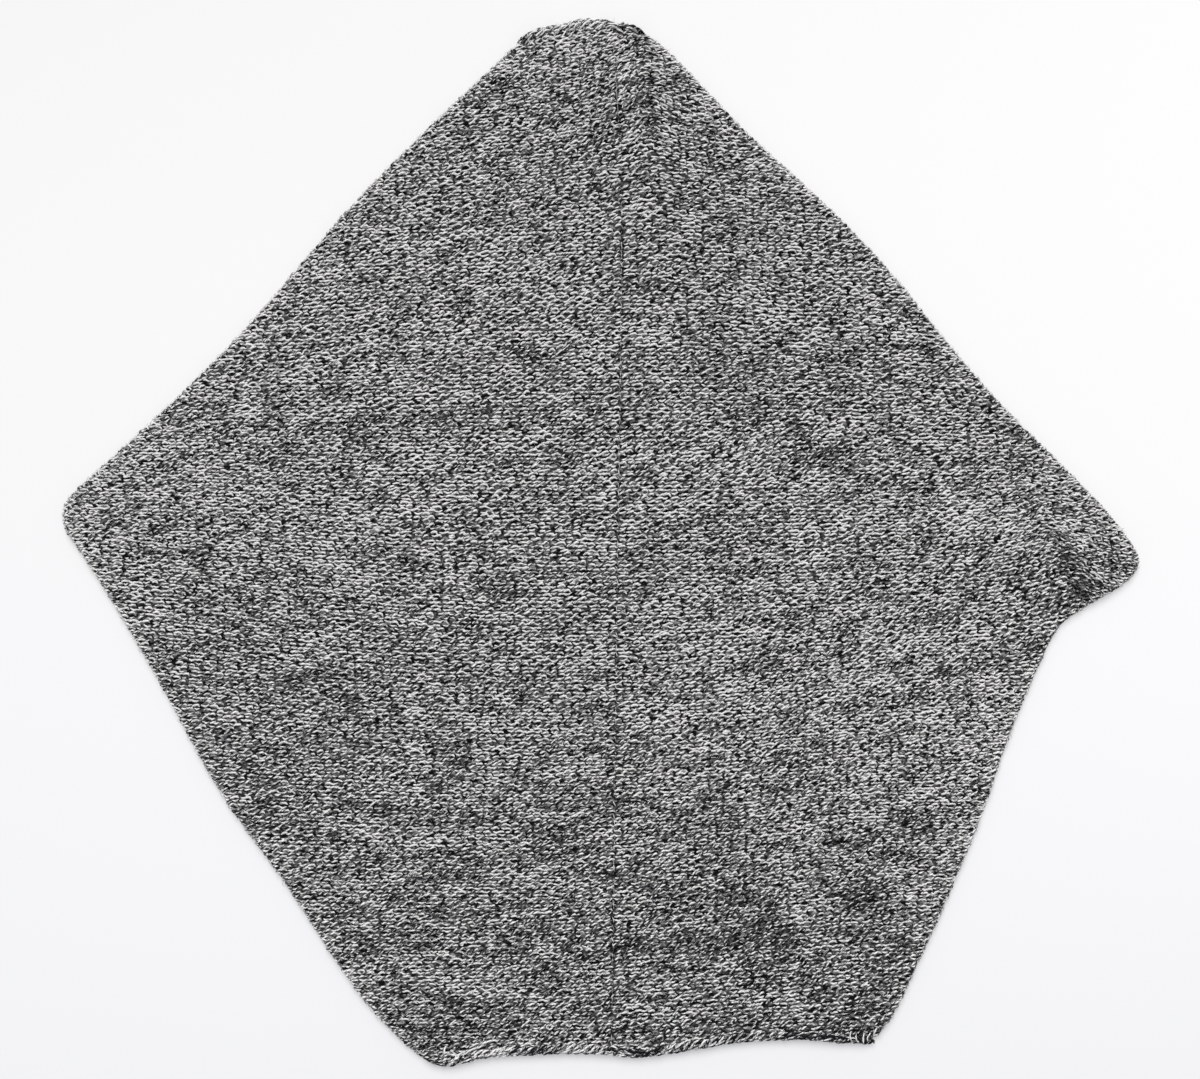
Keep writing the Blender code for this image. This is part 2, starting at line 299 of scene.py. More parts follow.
class KnitSettings(PropertyGroup):
    """Sizes of the purl fabric and of its loops."""

    column_pitch: length("Column pitch", "From one column of bumps to the next", 5.8, 2, 20)
    course_pitch: length("Course pitch", "From one bump to the next in its column", 5.6, 2, 20)
    bed_depth: length(
        "Bed depth", "How far the cloth under the loops lies below the wall's face", 1.5, 0.5, 2.2
    )
    yarn_radius: length(
        "Yarn radius", "Half the thickness of the yarn at a bump's middle", 0.92, 0.3, 4
    )
    link_radius: length(
        "Link radius", "Half the thickness of the yarn at a link's middle", 0.85, 0.3, 4
    )
    loop_length: length(
        "Loop length", "End to end of one bump, its tucked ends included", 6.9, 3, 30
    )
    loop_arch: length(
        "Loop arch", "How far a bump's ends drop below its middle, in the fabric's plane", 1.4, 0, 8
    )
    loop_hook: length(
        "Loop hook", "How far a bump's top is pushed to its right, so that it ends in a hook", 1.3, 0, 8
    )
    loop_sink: length("Loop sink", "How far a bump's ends dive into the fabric", 1.7, 0, 6)
    loop_lift: length("Loop lift", "Height of a bump's middle line over its bed", 0.75, 0, 4)
    link_arch: length(
        "Link arch", "How far the link between two bumps rises at its ends", 1.2, 0, 8
    )
    link_lift: length("Link lift", "Height of a link's middle line over its bed", 0.9, 0, 4)
    link_lean: angle("Link lean", "Slant of the links against their course", 4, -0.8, 0.8)
    lean: angle("Lean", "Slant of the bumps against their course", -5.6, -0.8, 0.8)
    unevenness: number("Unevenness", "How much the loops vary in size and slant", 0.18, 0, 0.5)
    lean_spread: angle("Lean spread", "How much that slant varies from loop to loop", 6, 0, 0.8)
    straying: length("Straying", "How far the loops stray from their places", 0.5, 0, 3)
    wavering: length(
        "Wavering", "How far the courses and columns waver over a few loops", 0.7, 0, 5
    )
    seed: IntProperty(name="Seed", description="Seed of the knit's unevenness", default=11, min=0)


class YarnSettings(PropertyGroup):
    """The marl yarn: plies of light grey and black, twisted together."""

    light_ply: colour("Light ply", "The light grey ply", (0.822, 0.812, 0.806, 1))
    grey_ply: colour("Grey ply", "Where the light ply runs darker", (0.332, 0.33, 0.342, 1))
    dark_ply: colour("Dark ply", "The black ply", (0.008, 0.008, 0.0095, 1))
    twist_length: length("Twist length", "Yarn for one whole turn of the plies", 5.5, 2, 60)
    twist_start: number(
        "Twist start", "Turn of the plies at a loop's middle: at 0 the light ply lies on top", 0, -1, 1
    )
    twist_wander: number("Twist wander", "How far that turn strays from loop to loop", 0.4, 0, 1)
    strand_scale: number(
        "Strand scale", "How many strands of the other colour lie in a ply", 1, 0.1, 5
    )
    strand_contrast: number("Strand contrast", "How far a ply's strands differ from it", 3.1, 0, 10)
    ply_contrast: number("Ply contrast", "How far the light and the dark ply differ", 0.34, 0, 2)
    light_share: number(
        "Light share", "Pushes the marl lighter above 0 and darker below", 0.385, -1, 1
    )
    shade_run: number(
        "Shade run", "How far the marl runs lighter and darker over a few loops", 0.4, 0, 2
    )
    shade_jump: number(
        "Shade jump", "How far one loop is lighter or darker than the next", 0.3, 0, 2
    )
    fuzz_count: IntProperty(
        name="Fuzz count", description="Number of loose fibres on each half of the back",
        default=1150, min=0,
    )
    fuzz_radius: length("Fuzz radius", "Half the thickness of a loose fibre", 0.075, 0.01, 1)
    fuzz_length: length("Fuzz length", "Length of a loose fibre", 6, 0, 20)


class EdgeSettings(PropertyGroup):
    """The rolled edges and the cast-off chains."""

    roll_across: length("Roll across", "How far in a folded edge starts to roll over", 6, 1, 20)
    chain_pitch: length("Chain pitch", "From one cast-off loop to the next", 7.2, 3, 20)
    chain_length: length("Chain loop length", "Length of a cast-off loop", 14.5, 5, 30)
    chain_ply_radius: length(
        "Chain ply radius", "Half the thickness of one ply in a cast-off loop", 0.85, 0.3, 4
    )
    chain_inset: length("Chain inset", "From the edge to the middle of the chain", 2.9, 0.5, 10)
    plied_twist: length(
        "Plied twist length", "Length of one turn of the plies in the chains and the seam", 12, 2, 60
    )
    seam_shows: number(
        "Seam shows from", "How far below the neck edge the seam opens, in mm", 150, 0, 800
    )
    sewing_pitch: length(
        "Sewing pitch", "From one stitch of the centre back seam to the next", 5.2, 2, 20
    )
    sewing_radius: length(
        "Sewing ply radius", "Half the thickness of one ply of the sewing thread", 0.42, 0.1, 2
    )
    sewing_lift: length(
        "Sewing lift", "Height of the sewing thread over the cloth under the loops", -0.12, -1, 3
    )


class StageSettings(PropertyGroup):
    """The camera straight above, the pale floor and the soft light."""

    view_width: length("View width", "Width of the picture at the cloth", 960, 100, 10000)
    lens: number("Lens", "Focal length in mm on a 36 mm sensor", 70, 20, 300)
    floor_colour: colour(
        "Floor colour", "Colour of the surface it lies on", (0.45, 0.452, 0.457, 1)
    )
    floor_glow: number(
        "Floor glow", "Light of the floor's own, as of a lit studio table", 0.414, 0, 5
    )
    key_strength: number(
        "Key light", "Strength of the soft light from beyond the neck", 2.65, 0, 20
    )
    key_height: angle("Key height", "How high that light stands over the floor", 56, 0.1, 1.57)
    key_softness: angle("Key softness", "How wide that light is, seen from the cloth", 38, 0, 3)
    fill_strength: number("Fill light", "Strength of the light from all round", 0.54, 0, 5)


# ---------------------------------------------------------------- geometry helpers


def soft_step(low, high, value):
    """0 below low, 1 above high, with a smooth run between."""
    s = np.clip((np.asarray(value, float) - low) / (high - low), 0.0, 1.0)
    return s * s * (3 - 2 * s)


def unit(vectors):
    """The vectors, at length 1."""
    return vectors / np.maximum(np.linalg.norm(vectors, axis=-1, keepdims=True), 1e-12)


def on_plane(place):
    """A place on the garment as x and y in metres."""
    return np.array((place.across * MM, GARMENT_LENGTH / 2 - place.down * MM))


def merged_copy(node_name):
    """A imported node's triangles as one joined mesh."""
    bm = bmesh.new()
    bm.from_mesh(frame["nodes"][node_name].data)
    bmesh.ops.remove_doubles(bm, verts=bm.verts, dist=0.01 * MM)
    bm.normal_update()
    return bm


def signed_area(ring):
    """The area inside a ring in the plane, above 0 where it runs anticlockwise."""
    x, y = ring[:, 0], ring[:, 1]
    return float(np.sum(x * np.roll(y, -1) - y * np.roll(x, -1)) / 2)


def outline_of(node_name):
    """The node's outermost edge as seen from above, an ordered ring of x, y and z."""
    bm = merged_copy(node_name)
    beside = {}
    for edge in bm.edges:
        upward = [face.normal.z > 0.02 for face in edge.link_faces]
        if len(upward) == 2 and upward[0] != upward[1]:
            a, b = edge.verts
            beside.setdefault(a.index, []).append(b.index)
            beside.setdefault(b.index, []).append(a.index)
    bm.verts.ensure_lookup_table()
    ring = [next(iter(beside))]
    last = None
    while True:
        onward = [v for v in beside[ring[-1]] if v != last]
        if not onward or onward[0] == ring[0]:
            break
        last = ring[-1]
        ring.append(onward[0])
    points = np.array([bm.verts[i].co[:] for i in ring])
    bm.free()
    return points if signed_area(points) > 0 else points[::-1]


def nearest_in(ring, place):
    """The number of the ring's point that is nearest to a place."""
    return int(np.argmin(np.linalg.norm(ring[:, :2] - on_plane(place), axis=1)))


def ways_round(ring, start, end):
    """Both ways round the ring between the points nearest to two places."""
    first, final, count = nearest_in(ring, start), nearest_in(ring, end), len(ring)
    ahead = [(first + i) % count for i in range((final - first) % count + 1)]
    behind = [(first - i) % count for i in range((first - final) % count + 1)]
    return ring[ahead], ring[behind]


def path_length(path):
    return np.sum(np.linalg.norm(np.diff(path, axis=0), axis=1))


def stretch(ring, start, end):
    """The shorter way round the ring between the points nearest to two places."""
    return min(reversed(ways_round(ring, start, end)), key=path_length)


def rest_of_ring(ring, corners):
    """The folded edge: the way from the neck's end round the sleeve to the hem's end."""
    seam = stretch(ring, corners["seam_top"], corners["seam_foot"])
    ahead, behind = ways_round(ring, corners["neck_end"], corners["hem_end"])
    passes_seam = np.min(np.linalg.norm(ahead - seam[len(seam) // 2], axis=1)) < 1 * MM
    return behind if passes_seam else ahead


def spaced(path, pitch, start=0.0):
    """Points and directions at this pitch along a path."""
    steps = np.linalg.norm(np.diff(path, axis=0), axis=1)
    along = np.concatenate(([0.0], np.cumsum(steps)))
    at = np.arange(start, along[-1] - 1e-6, pitch)

    def points_at(places):
        return np.stack([np.interp(places, along, axis) for axis in path.T], 1)

    return points_at(at), unit(points_at(at + pitch / 2) - points_at(at - pitch / 2))


def nearest_on(path, points):
    """For each point in the plane: how far a path lies, its nearest place and its direction there."""
    best = np.full(len(points), np.inf)
    foot = np.zeros((len(points), 2))
    way = np.zeros((len(points), 2))
    for start, end in zip(path[:-1, :2], path[1:, :2]):
        run = end - start
        square = max(run @ run, 1e-18)
        share = np.clip(((points - start) @ run) / square, 0.0, 1.0)
        near = start + share[:, None] * run
        gap = np.linalg.norm(points - near, axis=1)
        closer = gap < best
        best[closer], foot[closer] = gap[closer], near[closer]
        way[closer] = run / math.sqrt(square)
    return best, foot, way


def inside_ring(ring, points):
    """Whether each point lies inside a closed ring in the plane."""
    x, y = points[:, 0], points[:, 1]
    hits = np.zeros(len(points), bool)
    for a, b in zip(ring[:, :2], np.roll(ring[:, :2], -1, axis=0)):
        if a[1] == b[1]:
            continue
        crosses = (a[1] > y) != (b[1] > y)
        hits ^= crosses & (x < a[0] + (y - a[1]) * (b[0] - a[0]) / (b[1] - a[1]))
    return hits


def patch_share(patch, points):
    """How strongly a soft oval patch or crease holds at each point, from 0 to 1."""
    turn = math.radians(patch.turn)
    along = np.array((math.cos(turn), math.sin(turn)))
    beside = np.array((-along[1], along[0]))
    off = points - on_plane(patch)
    u = off @ along / (patch.length * MM)
    v = off @ beside / (patch.width * MM)
    return np.exp(-(u**2) - v**2)


def course_bend(points):
    """How far each place of the straight knit is pushed towards the neck."""
    tip, steepness = 0.12, 1.8      # how rounded a peaked hump's crease is, and how steep its right side
    bend = np.zeros(len(points))
    for hump in ROW_HUMPS:
        off = points - on_plane(hump)
        across = (off[:, 0] + hump.slant * off[:, 1]) / (hump.reach * MM)
        if hump.peaked:
            across = np.where(across > 0, across * steepness, across)
            ridge = np.exp(tip - np.sqrt(across**2 + tip**2))
        else:
            ridge = np.exp(-(across**2) / 2)
        fade = np.where(off[:, 1] > 0, hump.above, hump.below) * MM
        bend += hump.rise * MM * ridge * np.exp(-((off[:, 1] / fade) ** 2) / 2)
    return bend


def seam_share(y):
    """0 where the loops close over the centre back seam, near the neck, and 1 where it shows."""
    return soft_step(SEAM_SHUT, SEAM_OPEN, GARMENT_LENGTH / 2 - y)


def with_z(vectors, z=0.0):
    """Vectors in the plane with a third part, one for all or one for each."""
    return np.column_stack([vectors, np.broadcast_to(z, len(vectors))])


def off_plane(vectors, normals):
    """The vectors turned into the planes that these normals stand on."""
    return unit(vectors - normals * (vectors * normals).sum(1)[:, None])


def new_object(name, mesh):
    piece = bpy.data.objects.new(name, mesh)
    bpy.context.scene.collection.objects.link(piece)
    return piece


def settled(piece, name):
    """The piece's evaluated mesh as a plain object of this name, in place of the piece."""
    graph = bpy.context.evaluated_depsgraph_get()
    mesh = bpy.data.meshes.new_from_object(piece.evaluated_get(graph))
    mesh.name = name
    bpy.data.objects.remove(piece)
    done = new_object(name, mesh)
    if not len(mesh.polygons):
        raise RuntimeError(f"{name} came out empty")
    return done


def cloth_trees(node_names):
    """Ray trees of the finished cloths of these nodes."""
    meshes = [bpy.data.objects[name + "_cloth"].data for name in node_names]
    return [BVHTree.FromPolygons([v.co.copy() for v in mesh.vertices],
                                 [tuple(p.vertices) for p in mesh.polygons]) for mesh in meshes]


# ---------------------------------------------------------------- node trees


class Nodes:
    """Adds nodes to a tree and links them, with the fewest words."""

    def __init__(self, tree):
        self.tree = tree

    def add(self, kind, feeds=(), **settings):
        """A node of this kind: feeds are values or sockets by input name or place."""
        node = self.tree.nodes.new(kind)
        for name, value in settings.items():
            setattr(node, name, value)
        for name, value in dict(feeds).items():
            self.feed(node.inputs[name], value)
        return node

    def feed(self, socket, value):
        if isinstance(value, bpy.types.NodeSocket):
            self.tree.links.new(value, socket)
        elif value is not None:
            socket.default_value = value

    def math(self, operation, a, b=None, c=None):
        node = self.add("ShaderNodeMath", operation=operation)
        for socket, value in zip(node.inputs, (a, b, c)):
            self.feed(socket, value)
        return node.outputs[0]

    def plus(self, a, b):
        return self.math("ADD", a, b)

    def minus(self, a, b):
        return self.math("SUBTRACT", a, b)

    def times(self, a, b):
        return self.math("MULTIPLY", a, b)

    def times_plus(self, a, b, c):
        return self.math("MULTIPLY_ADD", a, b, c)

    def size_of(self, a):
        return self.math("ABSOLUTE", a)

    def parts(self, vector):
        return self.add("ShaderNodeSeparateXYZ", {0: vector}).outputs

    def vector(self, x=0.0, y=0.0, z=0.0):
        return self.add("ShaderNodeCombineXYZ", {"X": x, "Y": y, "Z": z}).outputs[0]


class GeometryTree(Nodes):
    """A geometry tree with named inputs."""

    def __init__(self, name):
        super().__init__(bpy.data.node_groups.new(name, "GeometryNodeTree"))
        for side in ("INPUT", "OUTPUT"):
            self.tree.interface.new_socket("Geometry", in_out=side, socket_type="NodeSocketGeometry")

    def asks(self, name, kind):
        """Declares a named input."""
        self.tree.interface.new_socket(name, in_out="INPUT", socket_type="NodeSocket" + kind)

    def start(self):
        return self.tree.nodes.new("NodeGroupInput").outputs

    def end(self, geometry):
        exit_node = self.tree.nodes.new("NodeGroupOutput")
        self.feed(exit_node.inputs["Geometry"], geometry)
        return self.tree

    def value_of(self, name, kind="FLOAT"):
        """The attribute of this name."""
        node = self.add("GeometryNodeInputNamedAttribute", {"Name": name}, data_type=kind)
        return node.outputs["Attribute"]

    def vector_of(self, name):
        return self.value_of(name, "FLOAT_VECTOR")

    def random(self, low, high, seed):
        feeds = {2: low, 3: high, "Seed": seed}
        return self.add("FunctionNodeRandomValue", feeds, data_type="FLOAT").outputs[1]

    def store(self, geometry, name, value, kind="FLOAT_VECTOR", domain="POINT"):
        feeds = {"Geometry": geometry, "Name": name, "Value": value}
        return self.add("GeometryNodeStoreNamedAttribute", feeds, data_type=kind, domain=domain).outputs[0]


def loop_tree(name, plies):
    """Lays one loop of two-ply yarn at each point: an arch whose two ends dive into the fabric.

    Points carry row_way, out_way, loop_size, loop_lean and yarn_mark. Hook pushes the arch's top to
    its right, so that the loop looks like a comma on its side. The yarn is one closed tube, or one
    for each ply, wound about its middle line. The tubes carry yarn_spot, which is how far along the
    yarn a point lies, in mm, and where it lies round the tube, and the ply's number.
    """
    g = GeometryTree(name)
    for label in ("Length", "Arch", "Hook", "Sink", "Lift", "Ply Radius", "Ply Spread", "Twist Length",
                  "End Share", "Lean", "Unevenness"):
        g.asks(label, "Float")
    for label in ("Rings", "Sides", "Seed"):
        g.asks(label, "Int")
    g.asks("Material", "Material")
    inputs = g.start()

    # The yarn's middle line runs from -1 to 1 along the loop
    line = g.add("GeometryNodeCurvePrimitiveLine", {"End": (1.0, 0.0, 0.0)}).outputs[0]
    rail = g.add("GeometryNodeResampleCurve", {"Curve": line, "Count": inputs["Rings"]}).outputs[0]
    factor = g.add("GeometryNodeSplineParameter").outputs["Factor"]
    along = g.times_plus(factor, 2.0, -1.0)
    square = g.times(along, along)
    steep = g.math("POWER", square, 1.5)
    x = g.times(along, g.times(inputs["Length"], 0.5))
    y = g.times(inputs["Arch"], g.minus(0.4, square))
    pushed = g.times(along, g.minus(1.0, square))
    y = g.times_plus(pushed, inputs["Hook"], y)
    z = g.times_plus(g.times(inputs["Sink"], steep), -1.0, inputs["Lift"])
    rail = g.add("GeometryNodeSetPosition", {"Geometry": rail, "Position": g.vector(x, y, z)}).outputs[0]
    keep = g.add("GeometryNodeCaptureAttribute", {"Geometry": rail}, domain="POINT")
    keep.capture_items.new("FLOAT", "along")
    g.feed(keep.inputs["along"], along)

    circle = g.add("GeometryNodeCurvePrimitiveCircle", {"Resolution": inputs["Sides"], "Radius": 1.0})
    ring = g.add("GeometryNodeCaptureAttribute", {"Geometry": circle.outputs[0]}, domain="POINT")
    ring.capture_items.new("VECTOR", "ring")
    g.feed(ring.inputs["ring"], g.add("GeometryNodeInputPosition").outputs[0])

    slim = g.minus(1.0, inputs["End Share"])
    taper = g.minus(1.0, g.times(slim, steep))
    scale = g.times(inputs["Ply Radius"], taper)
    feeds = {"Curve": keep.outputs[0], "Profile Curve": ring.outputs[0], "Scale": scale, "Fill Caps": True}
    body = g.add("GeometryNodeCurveToMesh", feeds).outputs[0]
    place = g.parts(ring.outputs["ring"])
    reach = g.times(inputs["Length"], 0.5 / MM)
    spot = g.vector(g.times(keep.outputs["along"], reach), place[0], place[1])
    body = g.store(body, "yarn_spot", spot)
    joined = g.add("GeometryNodeJoinGeometry")
    for number in plies:
        g.tree.links.new(g.store(body, "ply", number, "FLOAT"), joined.inputs[0])

    # Each loop lies along its course and out of the fabric, a little uneven
    def spread(low, high, number):
        return g.random(low, high, g.plus(inputs["Seed"], float(number)))

    uneven = inputs["Unevenness"]
    axes = {"Primary Axis": g.vector_of("out_way"), "Secondary Axis": g.vector_of("row_way")}
    turn = g.add("FunctionNodeAxesToRotation", axes, primary_axis="Z", secondary_axis="X").outputs[0]
    tilts = [spread(g.times(uneven, -most), g.times(uneven, most), k) for k, most in enumerate((1.2, 0.8))]
    tilt = g.vector(*tilts, g.plus(inputs["Lean"], g.value_of("loop_lean")))
    own = g.add("FunctionNodeEulerToRotation", {0: tilt}).outputs[0]
    turned = g.add("FunctionNodeRotateRotation", {0: turn, 1: own}, rotation_space="LOCAL").outputs[0]
    low = g.minus(1.0, uneven)
    high = g.plus(1.0, uneven)
    size = g.value_of("loop_size")
    sizes = g.vector(*[g.times(size, spread(low, high, k)) for k in (3, 4, 5)])
    points = inputs["Geometry"]
    for name, axis in (("arch_way", (0.0, 1.0, 0.0)), ("rise_way", (0.0, 0.0, 1.0))):
        way = g.add("FunctionNodeRotateVector", {"Vector": axis, "Rotation": turned}).outputs[0]
        points = g.store(points, name, way)
    laid = g.add("GeometryNodeInstanceOnPoints", {
        "Points": points, "Instance": joined.outputs[0], "Rotation": turned, "Scale": sizes,
    }).outputs[0]
    real = g.add("GeometryNodeRealizeInstances", {"Geometry": laid}).outputs[0]

    # The plies wind about the middle line, each loop from a turn of its own
    spot = g.parts(g.vector_of("yarn_spot"))
    mark = g.parts(g.vector_of("yarn_mark"))
    share = g.math("DIVIDE", g.times(spot[0], MM), inputs["Twist Length"])
    own_turn = g.times_plus(g.value_of("ply"), 0.25, mark[0])
    wound = g.times(g.minus(own_turn, share), math.tau)
    offset = g.add("ShaderNodeVectorMath", operation="ADD")
    for socket, way, wave, flatness in ((0, "arch_way", "COSINE", 1.0), (1, "rise_way", "SINE", 0.7)):
        part = g.add("ShaderNodeVectorMath", {0: g.vector_of(way)}, operation="SCALE")
        reach = g.times(inputs["Ply Spread"], flatness)
        g.feed(part.inputs["Scale"], g.times(g.math(wave, wound), reach))
        g.feed(offset.inputs[socket], part.outputs[0])
    wound = g.add("GeometryNodeSetPosition", {"Geometry": real, "Offset": offset.outputs[0]}).outputs[0]
    smooth = g.add("GeometryNodeSetShadeSmooth", {"Geometry": wound}).outputs[0]
    done = g.add("GeometryNodeSetMaterial", {"Geometry": smooth, "Material": inputs["Material"]})
    return g.end(done.outputs[0])


def use_tree(piece, tree, values):
    """Puts the tree on the piece, with its inputs set by identifier."""
    named = {item.name: item.identifier for item in tree.interface.items_tree if item.in_out == "INPUT"}
    modifier = piece.modifiers.new(tree.name, "NODES")
    modifier.node_group = tree
    for name, value in values.items():
        modifier[named[name]] = value


def give_bake_cells(mesh, count):
    """A UV map in which each ply of each loop has a cell of its own, unrolled along and round it."""
    one_loop = len(mesh.vertices) // count
    spots = np.array([item.vector[:] for item in mesh.attributes["yarn_spot"].data[:one_loop]], np.float32)
    plies = [item.value for item in mesh.attributes["ply"].data[:one_loop]]
    cell = np.zeros((len(mesh.loops) // count, 2))
    far = float(np.abs(spots[:, 0]).max())
    for polygon in mesh.polygons[:len(mesh.polygons) // count]:
        own = [mesh.loops[i].vertex_index for i in polygon.loop_indices]
        along = spots[own, 0] / far / 2 + 0.5
        turn = np.arctan2(spots[own, 1], -spots[own, 2]) / math.tau % 1.0
        if np.ptp(along) < 1e-4:      # an end of the ply, laid flat beside its unrolled side
            u = (0.06 if along[0] < 0.5 else 0.94) + 0.03 * spots[own, 1]
            v = 0.5 + 0.4 * spots[own, 2]
        else:
            turn = np.where((turn < 0.5) & (np.ptp(turn) > 0.5), turn + 1.0, turn)
            u = 0.14 + 0.72 * along
            v = turn / 1.3
        low, height = {-1.0: (0.04, 0.42), 0.0: (0.04, 0.92), 1.0: (0.54, 0.42)}[plies[own[0]]]
        cell[list(polygon.loop_indices)] = np.stack([u, low + height * v], 1)
    across = int(math.ceil(math.sqrt(count)))
    corner = np.stack([np.arange(count) % across, np.arange(count) // across], 1)
    uv = (corner[:, None, :] + cell[None, :, :]) / across
    layer = mesh.uv_layers.new(name="OFBake")
    layer.uv.foreach_set("vector", uv.astype(np.float32).ravel())


# ---------------------------------------------------------------- materials


class Shader(Nodes):
    """A material's nodes, ending in one Principled shader."""

    def __init__(self, name):
        self.material = bpy.data.materials.new(name)
        self.material.use_nodes = True
        super().__init__(self.material.node_tree)
        self.tree.nodes.clear()
        self.skin = self.add("ShaderNodeBsdfPrincipled")
        out = self.add("ShaderNodeOutputMaterial")
        self.tree.links.new(self.skin.outputs[0], out.inputs["Surface"])

    def attribute(self, name):
        return self.add("ShaderNodeAttribute", attribute_name=name).outputs

    def place(self):
        """Where a point lies on the garment."""
        return self.add("ShaderNodeTexCoord").outputs["Object"]

    def noise(self, vector, scale, detail=2.0, roughness=0.5):
        feeds = {"Vector": vector, "Scale": scale, "Detail": detail, "Roughness": roughness}
        return self.add("ShaderNodeTexNoise", feeds).outputs["Fac"]

    def step(self, value, low, high, start=0.0, end=1.0):
        feeds = {"Value": value, 1: low, 2: high, 3: start, 4: end}
        node = self.add("ShaderNodeMapRange", feeds, interpolation_type="SMOOTHSTEP")
        return node.outputs["Result"]

    def mix(self, share, a, b):
        return self.add("ShaderNodeMix", {"Factor": share, 6: a, 7: b}, data_type="RGBA").outputs[2]

    def scaled(self, colour, factor):
        feeds = {0: colour, "Scale": factor}
        return self.add("ShaderNodeVectorMath", feeds, operation="SCALE").outputs[0]

    def finish(self, roughness, **more):
        """Sets how matt the surface is, straight on the sockets."""
        for name, value in {"Roughness": roughness, "Specular IOR Level": 0.1, **more}.items():
            self.skin.inputs[name].default_value = value

    def bump(self, height, distance, strength=1.0):
        feeds = {"Height": height, "Distance": distance, "Strength": strength}
        node = self.add("ShaderNodeBump", feeds)
        self.feed(self.skin.inputs["Normal"], node.outputs[0])


def marl_yarn():
    """A light and a dark ply wound about each other, with strands of the other's colour in each."""
    yarn = bpy.context.scene.pullover_yarn
    s = Shader(YARN)
    spot = s.parts(s.attribute("yarn_spot")["Vector"])
    mark = s.parts(s.attribute("yarn_mark")["Vector"])
    ply = s.attribute("ply")["Fac"]
    phase, shade, tone = mark[0], mark[1], mark[2]

    # Plies, strands and fibres wind round the yarn, so their place is turned with the way along it
    per_mm = math.tau * MM / yarn.twist_length
    turn = s.times_plus(spot[0], per_mm, s.times(phase, math.tau))
    cosine, sine = s.math("COSINE", turn), s.math("SINE", turn)
    round_y = s.minus(s.times(spot[1], cosine), s.times(spot[2], sine))
    round_z = s.plus(s.times(spot[1], sine), s.times(spot[2], cosine))
    own = s.times_plus(ply, 5.3, s.times(tone, 61.0))      # each ply and loop has its own part of the noise

    def beside(stretched, shift):
        """A place in a noise drawn out along the yarn, another one for each loop."""
        return s.vector(s.times(spot[0], stretched), s.plus(round_y, own),
                        s.times_plus(shade, shift, round_z))

    fibres = s.noise(beside(0.2, 37.0), 3.0, detail=3.0, roughness=0.6)
    strands = s.noise(beside(0.3, 53.0), yarn.strand_scale, detail=1.0)

    # In a single tube the two plies lie on either side of the turned middle line
    single = s.minus(1.0, s.size_of(ply))
    side = s.step(round_y, -0.3, 0.3, -1.0, 1.0)
    side = s.times_plus(side, single, ply)
    groove = s.step(s.size_of(round_y), 0.0, 0.45)
    groove = s.math("MAXIMUM", groove, s.size_of(ply))

    lightness = s.times_plus(side, yarn.ply_contrast, s.times(shade, 0.5))
    lightness = s.times_plus(s.minus(strands, 0.5), yarn.strand_contrast, lightness)
    lightness = s.times_plus(s.minus(tone, 0.5), 0.6, lightness)
    lightness = s.plus(lightness, yarn.light_share)
    colour = s.mix(s.step(lightness, -0.3, 0.0), tuple(yarn.dark_ply), tuple(yarn.grey_ply))
    colour = s.mix(s.step(lightness, 0.0, 0.4), colour, tuple(yarn.light_ply))
    # Painted shade: the colour runs darker along the groove between the plies of a single tube; the fibres
    # vary it as well
    relief = s.times_plus(groove, 0.35, s.times_plus(fibres, 0.7, 0.35))
    s.feed(s.skin.inputs["Base Color"], s.scaled(colour, relief))
    s.finish(0.92, **{"Sheen Weight": 0.015, "Sheen Roughness": 0.55})
    s.bump(s.times_plus(groove, 1.4, fibres), 0.4 * MM, 0.8)
    return s.material


def knit_ground(name, painted_shade_factor):
    """The cloth under the loops: the same knit in a soft relief of half-drop arches, its colour painted
    darker in the grooves between them and all over by the given factor, as painted shade.
    """
    yarn = bpy.context.scene.pullover_yarn
    knit = bpy.context.scene.pullover_knit
    s = Shader(name)
    place = s.parts(s.place())
    column = s.math("DIVIDE", place[0], knit.column_pitch)
    number = s.math("FLOOR", column)
    half_drop = s.times(s.math("MODULO", s.size_of(number), 2.0), 0.5)
    course = s.plus(s.math("DIVIDE", place[1], knit.course_pitch), half_drop)
    u = s.minus(s.math("FRACT", column), 0.5)
    arched = s.times_plus(s.times(u, u), 1.3, course)
    v = s.minus(s.math("FRACT", arched), 0.5)
    ridge = s.step(s.size_of(v), 0.0, 0.4, 1.0, 0.0)
    ridge = s.times(ridge, s.step(s.size_of(u), 0.3, 0.5, 1.0, 0.3))
    drawn_out = s.vector(s.times(place[0], 0.5), place[1], place[2])
    marl = s.noise(drawn_out, 420.0, detail=1.0)
    fibres = s.noise(drawn_out, 1600.0, detail=3.0, roughness=0.6)
    ply = s.times_plus(fibres, 0.4, marl)
    colour = s.mix(s.step(ply, 0.6, 0.8), tuple(yarn.dark_ply), tuple(yarn.light_ply))
    # Painted shade: the colour is darker in the grooves between the arches, and all over by the factor
    # given
    depth = s.times_plus(ridge, 0.85, 0.15)
    s.feed(s.skin.inputs["Base Color"], s.scaled(colour, s.times(depth, painted_shade_factor)))
    s.finish(0.95, **{"Sheen Weight": 0.03, "Sheen Roughness": 0.55})
    s.bump(s.times_plus(fibres, 0.25, ridge), 1.2 * MM, 0.9)
    return s.material


